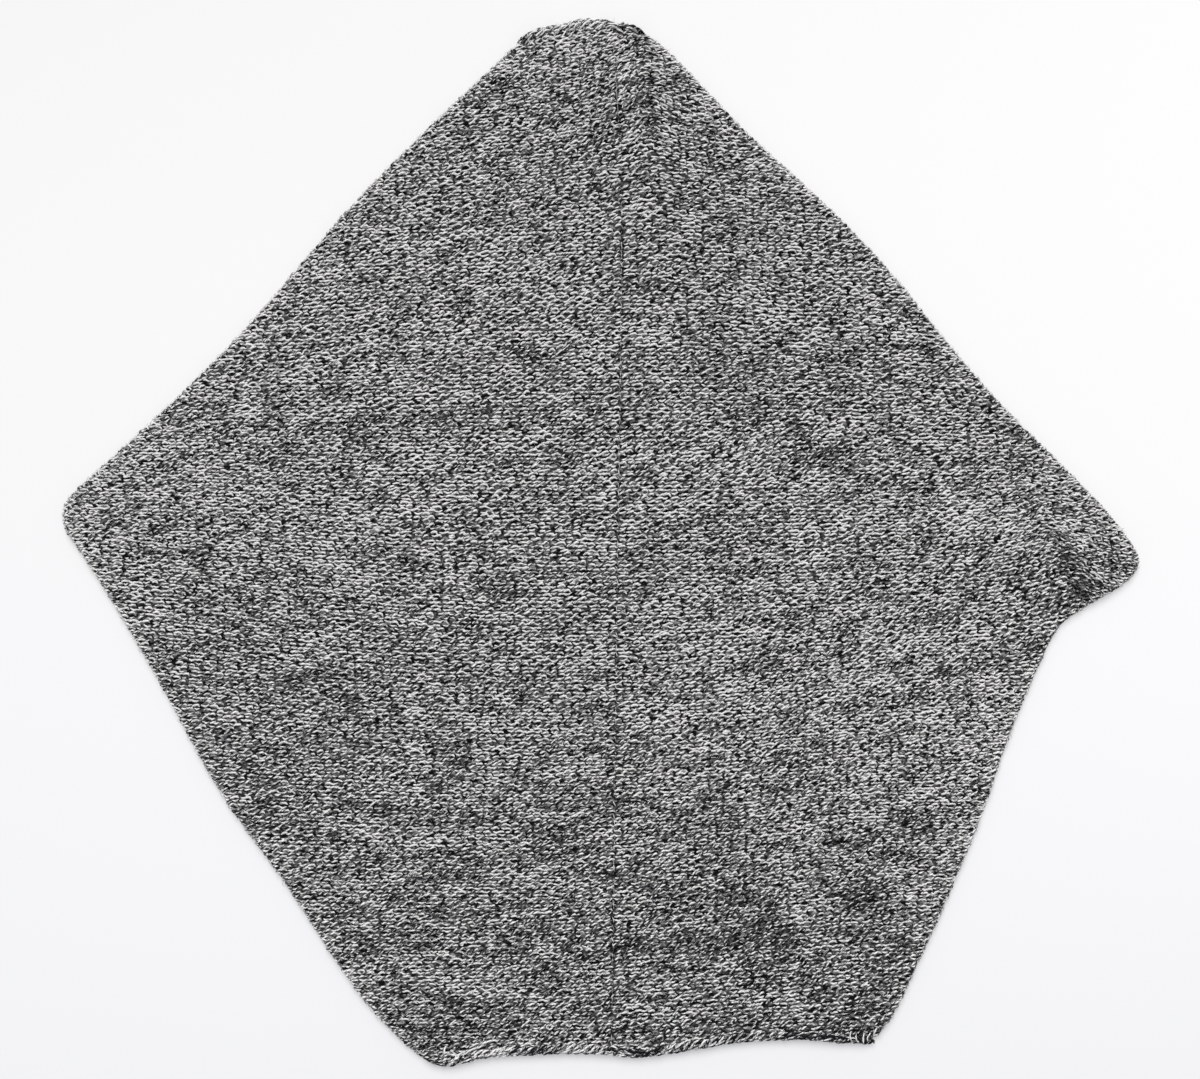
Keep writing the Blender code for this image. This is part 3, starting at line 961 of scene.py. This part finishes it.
def floor_paper():
    """The pale surface, with a painted glow of its own, a little uneven as in a studio, which also makes
    shadows on it fainter.
    """
    stage = bpy.context.scene.pullover_stage
    s = Shader("pale_floor")
    place = s.place()
    tint = s.step(s.noise(place, 1.3, detail=1.0), 0.2, 0.8, 0.985, 1.0)
    s.feed(s.skin.inputs["Base Color"], s.scaled(tuple(stage.floor_colour[:3]), tint))
    # Its painted glow is a little stronger beyond the neck, more so to the right, and cooler below the hem
    across, up = s.parts(place)[:2]
    slope = s.times_plus(up, 0.077, 0.035)
    glow = s.times_plus(across, slope, s.times_plus(up, 0.065, stage.floor_glow))
    fall = s.math("MINIMUM", s.times(up, up), 0.2)
    glow = s.times_plus(fall, -0.17, glow)
    s.feed(s.skin.inputs["Emission Strength"], s.math("MAXIMUM", glow, 0.0))
    s.finish(0.85)
    tone = s.mix(s.step(up, -0.4, 0.4), (0.976, 0.972, 1.005, 1.0), (1.0, 0.976, 0.968, 1.0))
    s.feed(s.skin.inputs["Emission Color"], tone)
    return s.material


# ---------------------------------------------------------------- the cloth under the loops


def bed_mesh(node_name, depth):
    """A packed wall's form, its top and edges drawn in by the depth that the loops then fill."""
    bm = merged_copy(node_name)
    for vertex in bm.verts:
        inset = vertex.normal * depth * float(soft_step(-0.97, -0.6, vertex.normal.z))
        if abs(vertex.co.x - SEAM_MIDDLE) < 8 * MM:      # the halves still meet at the seam
            inset.x = 0.0
        vertex.co -= inset
    mesh = bpy.data.meshes.new(node_name + "_cloth")
    bm.to_mesh(mesh)
    bm.free()
    return mesh


def add_creases(mesh):
    """Presses the fine creases into the faces that look up."""
    places = np.array([v.co[:2] for v in mesh.vertices])
    rise = sum(crease.rise * MM * patch_share(crease, places) for crease in CREASES)
    rise = rise * soft_step(0.2, 0.8, np.array([v.normal.z for v in mesh.vertices]))
    for vertex, own_rise in zip(mesh.vertices, rise):
        vertex.co.z += own_rise


class PULLOVER_OT_cloth(Operator):
    """Lay the back's two halves and the front as soft shells that carry the knit's loops"""

    bl_idname = "pullover.cloth"
    bl_label = "Cloth"

    def execute(self, context):
        knit = context.scene.pullover_knit
        # The bed under the back's loops is painted dark all over, as the shade between the loops; the
        # front's underside is not
        bed, underside = knit_ground("knit_bed", 0.3), knit_ground("knit_underside", 1.0)
        for node_name, material in (("back_left", bed), ("front", underside), ("back_right", bed)):
            piece = new_object("bed", bed_mesh(node_name, knit.bed_depth))
            if node_name in BACK_HALVES:
                smoother = piece.modifiers.new("soften", "SUBSURF")
                smoother.levels = 1
                smoother.render_levels = 1
            cloth = settled(piece, node_name + "_cloth")
            if node_name in BACK_HALVES:
                add_creases(cloth.data)
            cloth.data.shade_smooth()
            cloth.data.materials.clear()
            cloth.data.materials.append(material)
            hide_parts(node_name)
        return {"FINISHED"}


# ---------------------------------------------------------------- where the loops lie


class LoopPlaces:
    """Places of loops: where each lies, its course's way, its way out, its size, lean and marl."""

    FIELDS = (("row_way", "FLOAT_VECTOR", "vector"), ("out_way", "FLOAT_VECTOR", "vector"),
              ("loop_size", "FLOAT", "value"), ("loop_lean", "FLOAT", "value"),
              ("yarn_mark", "FLOAT_VECTOR", "vector"))

    def __init__(self):
        self.groups = []

    def add(self, points, row_way, out_way, size, lean, mark):
        count = len(points)
        size, lean = np.broadcast_to(size, count), np.broadcast_to(lean, count)
        self.groups.append((points, row_way, out_way, size, lean, mark))
        return self

    def laid(self, name, tree, values, chosen=slice(None)):
        """The chosen loops as a finished mesh."""
        points, *fields = [np.concatenate(field)[chosen] for field in zip(*self.groups)]
        mesh = bpy.data.meshes.new(name)
        mesh.from_pydata(points.tolist(), [], [])
        for (label, kind, part), field in zip(self.FIELDS, fields):
            data = mesh.attributes.new(label, kind, "POINT").data
            data.foreach_set(part, np.ascontiguousarray(field, np.float32).ravel())
        carrier = new_object("places", mesh)
        use_tree(carrier, tree, values)
        piece = settled(carrier, name)
        for label in ("row_way", "out_way", "loop_size", "loop_lean", "arch_way", "rise_way"):
            spare = piece.data.attributes.get(label)
            if spare:
                piece.data.attributes.remove(spare)
        give_bake_cells(piece.data, len(points))
        return piece


def surface_under(trees, points):
    """Height of the cloth straight below each point, or NaN where there is none."""
    over, down = 0.05, Vector((0, 0, -1))
    heights = np.full(len(points), np.nan)
    for i, (x, y) in enumerate(points):
        hits = [tree.ray_cast(Vector((x, y, over)), down)[0] for tree in trees]
        heights[i] = max((hit.z for hit in hits if hit is not None), default=np.nan)
    return heights


def surface_slopes(trees, points, heights):
    """Slope of the cloth across and up the garment, from heights one step away."""
    slopes = []
    for way in ((SLOPE_STEP, 0.0), (0.0, SLOPE_STEP)):
        ahead, back = surface_under(trees, points + way), surface_under(trees, points - way)
        rise = np.where(np.isnan(ahead), heights, ahead) - np.where(np.isnan(back), heights, back)
        slopes.append(np.nan_to_num(np.clip(rise / (2 * SLOPE_STEP), -0.8, 0.8)))
    return np.stack(slopes, 1)


class BackHalf:
    """One half of the back: its outline, its edges, its cloth and the lattice of its loops."""

    def __init__(self, node_name):
        self.node_name = node_name
        self.label = node_name.removeprefix("back_")
        self.trees = cloth_trees([node_name])
        self.side = -1.0 if node_name == "back_left" else 1.0
        self.ring = outline_of(node_name)
        corners = CORNERS[node_name]
        self.seam = stretch(self.ring, corners["seam_top"], corners["seam_foot"])
        self.neck = stretch(self.ring, corners["seam_top"], corners["neck_end"])
        self.hem = stretch(self.ring, corners["seam_foot"], corners["hem_end"])
        self.fold = rest_of_ring(self.ring, corners)

    def seam_across(self, y):
        order = np.argsort(self.seam[:, 1])
        return np.interp(y, self.seam[order, 1], self.seam[order, 0])

    def from_seam(self, points):
        """How far each point lies from the seam, towards this half's own side."""
        return (points[:, 0] - self.seam_across(points[:, 1])) * self.side

    def lattice(self, drop):
        """Half-drop places of the loops, bent by the humps, their courses' way, rows and columns.

        The links between the bumps lie a share of a course, drop, below the bumps of their column.
        """
        width, top, height = 0.47, 0.53, 1.02      # the lattice reaches past the half on every side
        knit = bpy.context.scene.pullover_knit
        counts = int(width / knit.column_pitch), int(height / knit.course_pitch)
        column, row = [number.ravel() for number in np.indices(counts)]
        level = top - (row + 0.5 * (column % 2) + drop) * knit.course_pitch
        out = (column + 0.62) * knit.column_pitch * self.side

        def placed(out, level):
            y = level
            for _ in range(10):      # the bend is given where a loop ends up, so its place is sought
                opening = (0.8 * seam_share(y) - 0.85) * MM
                x = self.seam_across(y) + out + opening * self.side
                y = level + course_bend(np.stack([x, y], 1))
            return np.stack([x, y], 1)

        step = 0.5 * knit.column_pitch
        way = unit(placed(out + step, level) - placed(out - step, level))
        return placed(out, level), way, row * 2 + column % 2 + round(2 * drop), column


def waver(points, seed):
    """A soft unevenness of the whole fabric, which moves neighbouring loops alike."""
    waves = 10
    rng = np.random.default_rng(seed)
    moved = np.zeros(points.shape)
    for _ in range(waves):
        turn, start, push = rng.uniform(0.0, math.tau, 3)
        wave = rng.uniform(22.0, 60.0) * MM
        phase = points @ (math.cos(turn), math.sin(turn)) * math.tau / wave + start
        moved += np.sin(phase)[:, None] * (math.cos(push), math.sin(push))
    return moved / math.sqrt(waves)


class Marl:
    """How the marl runs on from loop to loop along the yarn of one half of the back."""

    def __init__(self, seed):
        self.rng = np.random.default_rng(seed)
        self.tables = [self.rng.normal(0.0, 1.0, (400, 60)) for _ in range(4)]

    def drift(self, number, rows, columns, run, blend=0.0):
        """A value for each loop that changes slowly along its row, and a little with the rows beside."""
        table = self.tables[number]
        table = table + blend * (np.roll(table, 1, axis=0) + np.roll(table, -1, axis=0))
        table = table / math.sqrt(1 + 2 * blend**2)
        at = columns / run
        knot = at.astype(int)
        share = soft_step(0.0, 1.0, at - knot)
        return table[rows, knot] * (1 - share) + table[rows, knot + 1] * share

    def marks(self, points, rows, columns):
        """Phase of the twist, shade and tone of each loop."""
        yarn = bpy.context.scene.pullover_yarn
        count = len(points)
        shade = yarn.shade_run * self.drift(0, rows, columns, run=3, blend=0.5)
        shade += 0.12 * self.drift(1, rows // 4, columns, run=7, blend=0.3)
        shade += self.rng.normal(0.0, yarn.shade_jump, count)
        # The patches add the marl's broad runs and painted shade, in the creases and towards the hem
        for patch in MARL_AND_SHADE_PATCHES:
            shade += patch.shade * patch_share(patch, points)
        wander = self.drift(2, rows, columns, run=3) + self.rng.normal(0.0, 0.5, count)
        phase = yarn.twist_start + yarn.twist_wander * wander
        tone = 0.5 + 0.22 * self.drift(3, rows, columns, run=2) + self.rng.normal(0.0, 0.14, count)
        return np.stack([phase % 1.0, shade, np.clip(tone, 0.0, 1.0)], 1)


def rolled_edge(trees, foot, outward, roll):
    """A folded edge as an oval tube round the stack of back and front: its places and ways out."""
    knit = bpy.context.scene.pullover_knit
    across = bpy.context.scene.pullover_edges.roll_across
    rise, reach = np.cos(roll), np.sin(roll)
    half_stack = STACK / 2
    bed = knit.bed_depth * 0.95
    flat = foot - outward * across + outward * ((across - bed) * reach)[:, None]
    tube = with_z(flat, half_stack + (half_stack - bed) * rise)
    tube_out = unit(with_z(outward) * (reach * half_stack)[:, None] + UP * (rise * across)[:, None])
    # Folds near the edge lift the rolled loops with them
    brim = surface_under(trees, foot - outward * (across * 1.15))
    lift = np.where(np.isnan(brim), 0.0, brim - (STACK - knit.bed_depth))
    tube[:, 2] += lift * np.clip(rise, 0.0, 1.0)
    return tube, tube_out


def field_of_loops(half, marl, drop):
    """Places of one half's loops: flat on the cloth, and rolled over its folded edges."""
    knit = bpy.context.scene.pullover_knit
    edges = bpy.context.scene.pullover_edges
    rng = marl.rng
    points, way, rows, columns = half.lattice(drop)
    waver_share = knit.wavering * soft_step(2 * MM, 24 * MM, np.abs(half.from_seam(points)))
    points = points + waver(points, knit.seed) * waver_share[:, None]
    stray = rng.normal(0.0, knit.straying, points.shape) * (2.4, 0.7)      # further along the course
    points = points + way * stray[:, :1] + np.stack([-way[:, 1], way[:, 0]], 1) * stray[:, 1:]

    inside = inside_ring(half.ring, points)
    gap, foot, edge_way = nearest_on(half.fold, points)
    outward = np.stack([edge_way[:, 1], -edge_way[:, 0]], 1)
    away = np.where(inside[:, None], foot - points, points - foot)
    outward *= np.sign((outward * away).sum(1))[:, None]

    # Loops lie where no chain does, on their own side of the seam, and a little way over the fold
    y = points[:, 1]
    past_seam = half.from_seam(points)
    seam_gap = np.abs(past_seam)
    chain_room = edges.chain_inset + 1.9 * MM
    seam_room = (0.3 + 0.9 * seam_share(y)) * MM
    seam_depth, seam_reach = 0.5 * MM, 3 * MM
    arc, furthest = edges.roll_across * 0.88, edges.roll_across * 2.1
    near_ends = (y > half.neck[:, 1].max()) | (y < half.hem[:, 1].max() - 12 * MM)
    roll = np.clip((edges.roll_across - np.where(inside, gap, -gap)) / arc, 0.0, None)
    wanted = (inside | ((gap < furthest) & ~near_ends)) & (roll < FURTHEST_ROLL)
    wanted &= (past_seam >= 0) & (seam_gap > seam_room)
    for chain in (half.hem, half.neck):
        wanted &= nearest_on(chain, points)[0] > chain_room
    heights = np.full(len(points), np.nan)
    heights[wanted] = surface_under(half.trees, points[wanted])
    wanted &= (roll > 0) | ~np.isnan(heights)
    seam_dip = seam_depth * np.exp(-((seam_gap / seam_reach) ** 2)) * seam_share(y)
    points, way, roll, outward, foot, seam_dip, rows, columns, heights = [
        field[wanted] for field in (points, way, roll, outward, foot, seam_dip, rows, columns, heights)
    ]

    slopes = surface_slopes(half.trees, points, heights)
    ground = with_z(points, heights - seam_dip)
    ground_out = unit(with_z(-slopes, 1.0))
    tube, tube_out = rolled_edge(half.trees, foot, outward, roll)
    share = soft_step(0.0, 0.5, roll)[:, None]
    share[np.isnan(heights)] = 1.0
    ground[np.isnan(heights)] = 0.0
    places = ground * (1 - share) + tube * share
    out_way = unit(ground_out * (1 - share) + tube_out * share)

    # The course turns over with the edge
    sideways = (way * outward).sum(1)
    row_way = with_z(way - outward * sideways[:, None])
    row_way += with_z(outward) * (sideways * np.cos(roll))[:, None]
    row_way -= UP * (sideways * np.sin(roll))[:, None]
    row_way = off_plane(row_way, out_way)

    places = places + out_way * rng.normal(0.0, 0.22 * MM, len(places))[:, None]
    lean = rng.normal(0.0, knit.lean_spread, len(places))
    for sway in SWAYS:
        lean += math.radians(sway.shade) * patch_share(sway, places[:, :2])
    marks = marl.marks(places[:, :2], rows, columns)
    found = LoopPlaces().add(places, row_way, out_way, 1.0, lean, marks)
    return found, columns, places[:, 2] > HALFWAY_UP


def loop_values(changed):
    """What a tree of loops is asked for: a purl bump, but for the inputs that are changed."""
    knit = bpy.context.scene.pullover_knit
    return {
        "Length": knit.loop_length,
        "Arch": knit.loop_arch,
        "Hook": 0.0,
        "Sink": knit.loop_sink,
        "Lift": knit.loop_lift,
        "Ply Radius": knit.yarn_radius,
        "Ply Spread": 0.0,
        "Twist Length": bpy.context.scene.pullover_yarn.twist_length,
        "End Share": 0.62,
        "Lean": 0.0,
        "Unevenness": knit.unevenness,
        "Rings": 5,
        "Sides": 4,
        "Seed": knit.seed,
        "Material": bpy.data.materials[YARN],
        **changed,
    }


def plied_values(length, arch, sink, lift, ply_radius, ply_spread, **changed):
    """The same for a loop whose two plies are tubes of their own."""
    return loop_values({
        "Length": length, "Arch": arch, "Sink": sink, "Lift": lift, "Ply Radius": ply_radius,
        "Ply Spread": ply_spread, "Twist Length": bpy.context.scene.pullover_edges.plied_twist,
        **changed,
    })


class PULLOVER_OT_loops(Operator):
    """Knit the back: purl bumps in half-drop courses and the links between them"""

    bl_idname = "pullover.loops"
    bl_label = "Purl loops"

    def execute(self, context):
        tree = loop_tree(SINGLE_LOOPS, ONE_YARN)
        marl_yarn()
        knit = context.scene.pullover_knit
        kinds = (
            ("bumps", 0.0, {"Lean": knit.lean, "Hook": knit.loop_hook}),
            ("links", 0.5, {"Lean": knit.link_lean, "Arch": -knit.link_arch, "Lift": knit.link_lift,
                            "Ply Radius": knit.link_radius, "Rings": 3}),
        )
        for half in map(BackHalf, BACK_HALVES):
            marl = Marl(knit.seed + len(half.node_name))
            for kind, drop, own in kinds:
                found, columns, on_top = field_of_loops(half, marl, drop)
                strip_of = np.digitize(columns, np.quantile(columns[on_top], [1 / 3, 2 / 3]))
                for number, strip in enumerate(("inner", "middle", "outer")):
                    values = loop_values({**own, "Seed": knit.seed + 7 * number})
                    chosen = on_top & (strip_of == number)
                    found.laid(f"{half.node_name}_{kind}_{strip}", tree, values, chosen)
                found.laid(f"front_edge_{kind}_{half.label}", tree, values, ~on_top)
        return {"FINISHED"}


# ---------------------------------------------------------------- cast-off chains


def lean_at(leans, across):
    """The slant of a chain's loops this far across the garment."""
    places, turns = np.array(leans).T
    return np.interp(across, places * MM, np.radians(turns))


def chain_places(path, side, trees, leans, marl):
    """Places of one cast-off chain: an upper strand on the cloth and two more round its rim."""
    knit = bpy.context.scene.pullover_knit
    edges = bpy.context.scene.pullover_edges
    straying, least_inset, rim_drop = 0.2 * MM, 2.2 * MM, WALL / 2 - 0.4 * MM
    marl_row, darker = 3, 0.7
    if path[0, 0] > path[-1, 0]:
        path = path[::-1]
    found = LoopPlaces()
    for strand in CHAIN_STRANDS:
        points, way = spaced(path, edges.chain_pitch, strand.offset * edges.chain_pitch)
        points = points + marl.rng.normal(0, straying, points.shape) * (1, 1, 0)
        inward = np.stack([-way[:, 1], way[:, 0]], 1) * side
        inset = edges.chain_inset + strand.inset * MM
        flat = points[:, :2] + inward * inset
        top = surface_under(trees, points[:, :2] + inward * max(inset, least_inset))
        top = np.where(np.isnan(top), STACK - knit.bed_depth, top)
        places = with_z(flat, top - (1 - math.cos(strand.roll)) * rim_drop)
        out_way = unit(with_z(-inward) * math.sin(strand.roll) + UP * math.cos(strand.roll))
        lean = lean_at(leans, points[:, 0])
        marks = marl.marks(flat, np.full(len(points), marl_row), np.arange(len(points)))
        marks[:, 1] -= darker
        found.add(places, unit(with_z(way[:, :2])), out_way, strand.size,
                  lean + strand.turned * np.sign(lean), marks)
    return found


class PULLOVER_OT_cast_off(Operator):
    """Finish the neck edge and the hem with cast-off chains"""

    bl_idname = "pullover.cast_off"
    bl_label = "Cast-off chains"

    def execute(self, context):
        tree = loop_tree(PLIED_LOOPS, TWO_PLIES)
        edges = context.scene.pullover_edges
        knit = context.scene.pullover_knit
        values = plied_values(
            edges.chain_length, 1.6 * MM, 2.2 * MM, 1.25 * MM, edges.chain_ply_radius,
            edges.chain_ply_radius, Rings=7, Unevenness=0.1, **{"End Share": 0.5},
        )
        for half in map(BackHalf, BACK_HALVES):
            marl = Marl(knit.seed + 40 + len(half.node_name))
            for label, path, leans, side in (
                ("neck_chain", half.neck, NECK_LEANS, -1.0),
                ("hem_chain", half.hem, HEM_LEANS, 1.0),
            ):
                found = chain_places(path, side, half.trees, leans, marl)
                found.laid(f"{label}_{half.label}", tree, values)
        return {"FINISHED"}


class PULLOVER_OT_corners(Operator):
    """Lay the loose loop and the upright stitches that close the hem's two corners"""

    bl_idname = "pullover.corners"
    bl_label = "Hem corners"

    def execute(self, context):
        edges = context.scene.pullover_edges
        knit = context.scene.pullover_knit
        over_bed = 0.9 * MM
        trees = cloth_trees(BACK_HALVES)
        rng = np.random.default_rng(knit.seed + 5)
        for name, table, length in (
            ("corner_loops", CORNER_LOOPS, 21 * MM), ("corner_stitches", CORNER_STITCHES, 8 * MM),
        ):
            count = len(table)
            flat = np.array([on_plane(stitch) for stitch in table])
            height = np.nan_to_num(surface_under(trees, flat), nan=STACK - knit.bed_depth)
            turn = np.radians([stitch.turn for stitch in table])
            way = np.stack([np.cos(turn), np.sin(turn), np.zeros(count)], 1)
            marks = np.column_stack([rng.uniform(0, 1, count), [stitch.shade for stitch in table],
                                     np.full(count, 0.5)])
            found = LoopPlaces().add(with_z(flat, height + over_bed), way, np.tile(UP, (count, 1)),
                                     1.0, 0.0, marks)
            found.laid(name, bpy.data.node_groups[PLIED_LOOPS], plied_values(
                length, 1.2 * MM, 2.4 * MM, 1.0 * MM, edges.chain_ply_radius * 0.8,
                edges.chain_ply_radius * 0.7, Rings=7, Unevenness=0.1,
            ))
        return {"FINISHED"}


def edge_fibres(half, rng, count):
    """Feet and ways out of the loose fibres that stand on a half's outer edge."""
    edge = np.concatenate([half.neck[::-1], half.fold, half.hem[::-1]])
    feet, way = spaced(edge, path_length(edge) / count)
    outward = np.stack([way[:, 1], -way[:, 0]], 1)
    outward *= np.where(inside_ring(half.ring, feet[:, :2] + outward * 2 * MM), -1.0, 1.0)[:, None]
    slope = rng.uniform(0.15, 1.2, len(feet))
    out_way = unit(with_z(outward) * np.cos(slope)[:, None] + UP * np.sin(slope)[:, None])
    inset = rng.uniform(0.5, 2.0, len(feet)) * MM
    feet[:, :2] -= outward * inset[:, None]
    feet[:, 2] = STACK * rng.uniform(0.3, 0.8, len(feet))
    return feet, out_way


def face_fibres(half, rng, tries, count):
    """Feet of the loose fibres that stand on a half's face, a little over its cloth."""
    low, high = half.ring.min(0), half.ring.max(0)
    face = rng.uniform(low[:2], high[:2], (tries, 2))
    face = face[inside_ring(half.ring, face)][:count]
    heights = surface_under(half.trees, face)
    return with_z(face, heights + 1.6 * MM)[~np.isnan(heights)]


class PULLOVER_OT_fuzz(Operator):
    """Raise loose fibres along the edges and over the face of the knit"""

    bl_idname = "pullover.fuzz"
    bl_label = "Fuzz"

    def execute(self, context):
        yarn = context.scene.pullover_yarn
        values = loop_values({
            "Length": yarn.fuzz_length, "Arch": 1.6 * MM, "Sink": 2.6 * MM, "Lift": 1.1 * MM,
            "Ply Radius": yarn.fuzz_radius, "Unevenness": 0.4, "Rings": 4, "Sides": 3,
        })
        on_edge = int(yarn.fuzz_count * EDGE_FUZZ)
        for half in map(BackHalf, BACK_HALVES):
            rng = np.random.default_rng(values["Seed"] + 60 + len(half.node_name))
            feet, out_way = edge_fibres(half, rng, on_edge)
            face = face_fibres(half, rng, 3 * yarn.fuzz_count, yarn.fuzz_count - on_edge)
            feet = np.concatenate([feet, face])
            out_way = np.concatenate([out_way, np.tile(UP, (len(face), 1))])
            row_way = off_plane(rng.normal(0.0, 1.0, feet.shape), out_way)
            count = len(feet)
            marks = np.stack([rng.uniform(0, 1, count), rng.normal(0.2, 0.5, count),
                              rng.uniform(0, 1, count)], 1)
            found = LoopPlaces().add(feet, row_way, out_way, rng.uniform(0.7, 1.3, count),
                                     rng.normal(0.0, 0.4, count), marks)
            found.laid(f"fuzz_{half.label}", bpy.data.node_groups[SINGLE_LOOPS], values)
        return {"FINISHED"}


class PULLOVER_OT_seam(Operator):
    """Sew the two halves of the back together with a thin plied thread"""

    bl_idname = "pullover.seam"
    bl_label = "Centre back seam"

    def execute(self, context):
        edges = context.scene.pullover_edges
        knit = context.scene.pullover_knit
        seam = BackHalf("back_left").seam
        if seam[0, 1] > seam[-1, 1]:
            seam = seam[::-1]
        points, way = spaced(seam, edges.sewing_pitch, 4 * MM)
        shown = points[:, 1] < GARMENT_LENGTH / 2 - edges.seam_shows * MM
        points, way = points[shown], way[shown]
        rng = np.random.default_rng(knit.seed)
        count = len(points)
        between_halves = (0.15 * MM, 0.0, 0.0)
        places = points + between_halves + rng.normal(0.0, 0.15 * MM, points.shape)
        places[:, 2] = STACK - knit.bed_depth + edges.sewing_lift
        marks = np.stack([rng.uniform(0, 1, count), rng.normal(-1.3, 0.45, count), np.full(count, 0.5)], 1)
        found = LoopPlaces().add(places, unit(with_z(way[:, :2])), np.tile(UP, (count, 1)), 1.0,
                                 rng.normal(0.25, 0.12, count), marks)
        found.laid("seam_thread", bpy.data.node_groups[PLIED_LOOPS], plied_values(
            edges.sewing_pitch * 1.5, 0.0, 1.2 * MM, 0.0, edges.sewing_radius, edges.sewing_radius,
            Rings=4, Sides=3,
        ))
        return {"FINISHED"}


# ---------------------------------------------------------------- attaching the pieces, and the stage


class PULLOVER_OT_declare(Operator):
    """Attach each piece this script adds to the root body, which it rides on"""

    bl_idname = "pullover.declare"
    bl_label = "Declare the pieces"

    def execute(self, context):
        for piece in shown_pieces():
            if "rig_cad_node" in piece:
                continue
            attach(piece, "root")
        for node_name, rests_on in (
            ("back_left", ["front_cloth"]), ("back_right", ["front_cloth"]), ("front", []),
        ):
            signed_area(outline_of(node_name))
        return {"FINISHED"}


class PULLOVER_OT_stage(Operator):
    """Set the pale floor, the soft light from beyond the neck and the camera straight above"""

    bl_idname = "pullover.stage"
    bl_label = "Stage"

    def execute(self, context):
        scene = context.scene
        stage = scene.pullover_stage
        mesh = bpy.data.meshes.new("floor")
        reach = 6.0
        corners = [(x * reach, y * reach, 0) for x, y in ((-1, -1), (1, -1), (1, 1), (-1, 1))]
        mesh.from_pydata(corners, [], [(0, 1, 2, 3)])
        mesh.materials.append(floor_paper())
        new_object("floor", mesh)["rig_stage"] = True

        sun = bpy.data.lights.new("key_light", "SUN")
        sun.energy = stage.key_strength
        sun.angle = stage.key_softness
        sun.color = (1.0, 0.995, 0.985)
        lamp = new_object("key_light", sun)
        lamp.rotation_euler = (-(math.pi / 2 - stage.key_height), 0.0, math.radians(8))

        world = bpy.data.worlds.new("soft_room")
        world.use_nodes = True
        sky = world.node_tree.nodes["Background"]
        sky.inputs["Color"].default_value = (0.97, 0.985, 1.0, 1.0)
        sky.inputs["Strength"].default_value = stage.fill_strength
        scene.world = world

        lens = bpy.data.cameras.new("camera")
        lens.lens = stage.lens
        lens.sensor_width = 36.0
        camera = new_object("camera", lens)
        distance = stage.view_width * stage.lens / lens.sensor_width
        camera.location = (PHOTO_MIDDLE.x, PHOTO_MIDDLE.y, STACK + distance)
        lens.clip_end = 20.0
        scene.camera = camera
        scene.view_settings.view_transform = "Standard"
        return {"FINISHED"}


class PULLOVER_PT_panel(Panel):
    """The pullover's settings and steps"""

    bl_label = "Marl Knit Pullover"
    bl_idname = "PULLOVER_PT_panel"
    bl_space_type = "VIEW_3D"
    bl_region_type = "UI"
    bl_category = "Pullover"

    def draw(self, context):
        for name in GROUPS:
            group = getattr(context.scene, name)
            box = self.layout.box()
            box.label(text=type(group).__name__)
            for item in group.__annotations__:
                box.prop(group, item)
        for step in STEPS:
            self.layout.operator(step.bl_idname)


GROUPS = {
    "pullover_knit": KnitSettings,
    "pullover_yarn": YarnSettings,
    "pullover_edges": EdgeSettings,
    "pullover_stage": StageSettings,
}
STEPS = (
    PULLOVER_OT_cloth,
    PULLOVER_OT_loops,
    PULLOVER_OT_cast_off,
    PULLOVER_OT_corners,
    PULLOVER_OT_seam,
    PULLOVER_OT_fuzz,
    PULLOVER_OT_declare,
    PULLOVER_OT_stage,
)
CLASSES = (*GROUPS.values(), *STEPS, PULLOVER_PT_panel)


def register():
    for cls in CLASSES:
        bpy.utils.register_class(cls)
    for name, group in GROUPS.items():
        setattr(bpy.types.Scene, name, PointerProperty(type=group))


def unregister():
    for name in GROUPS:
        delattr(bpy.types.Scene, name)
    for cls in reversed(CLASSES):
        bpy.utils.unregister_class(cls)


def main():
    register()
    for step in STEPS:
        group, name = step.bl_idname.split(".")
        getattr(getattr(bpy.ops, group), name)()


if __name__ == "__main__":
    main()
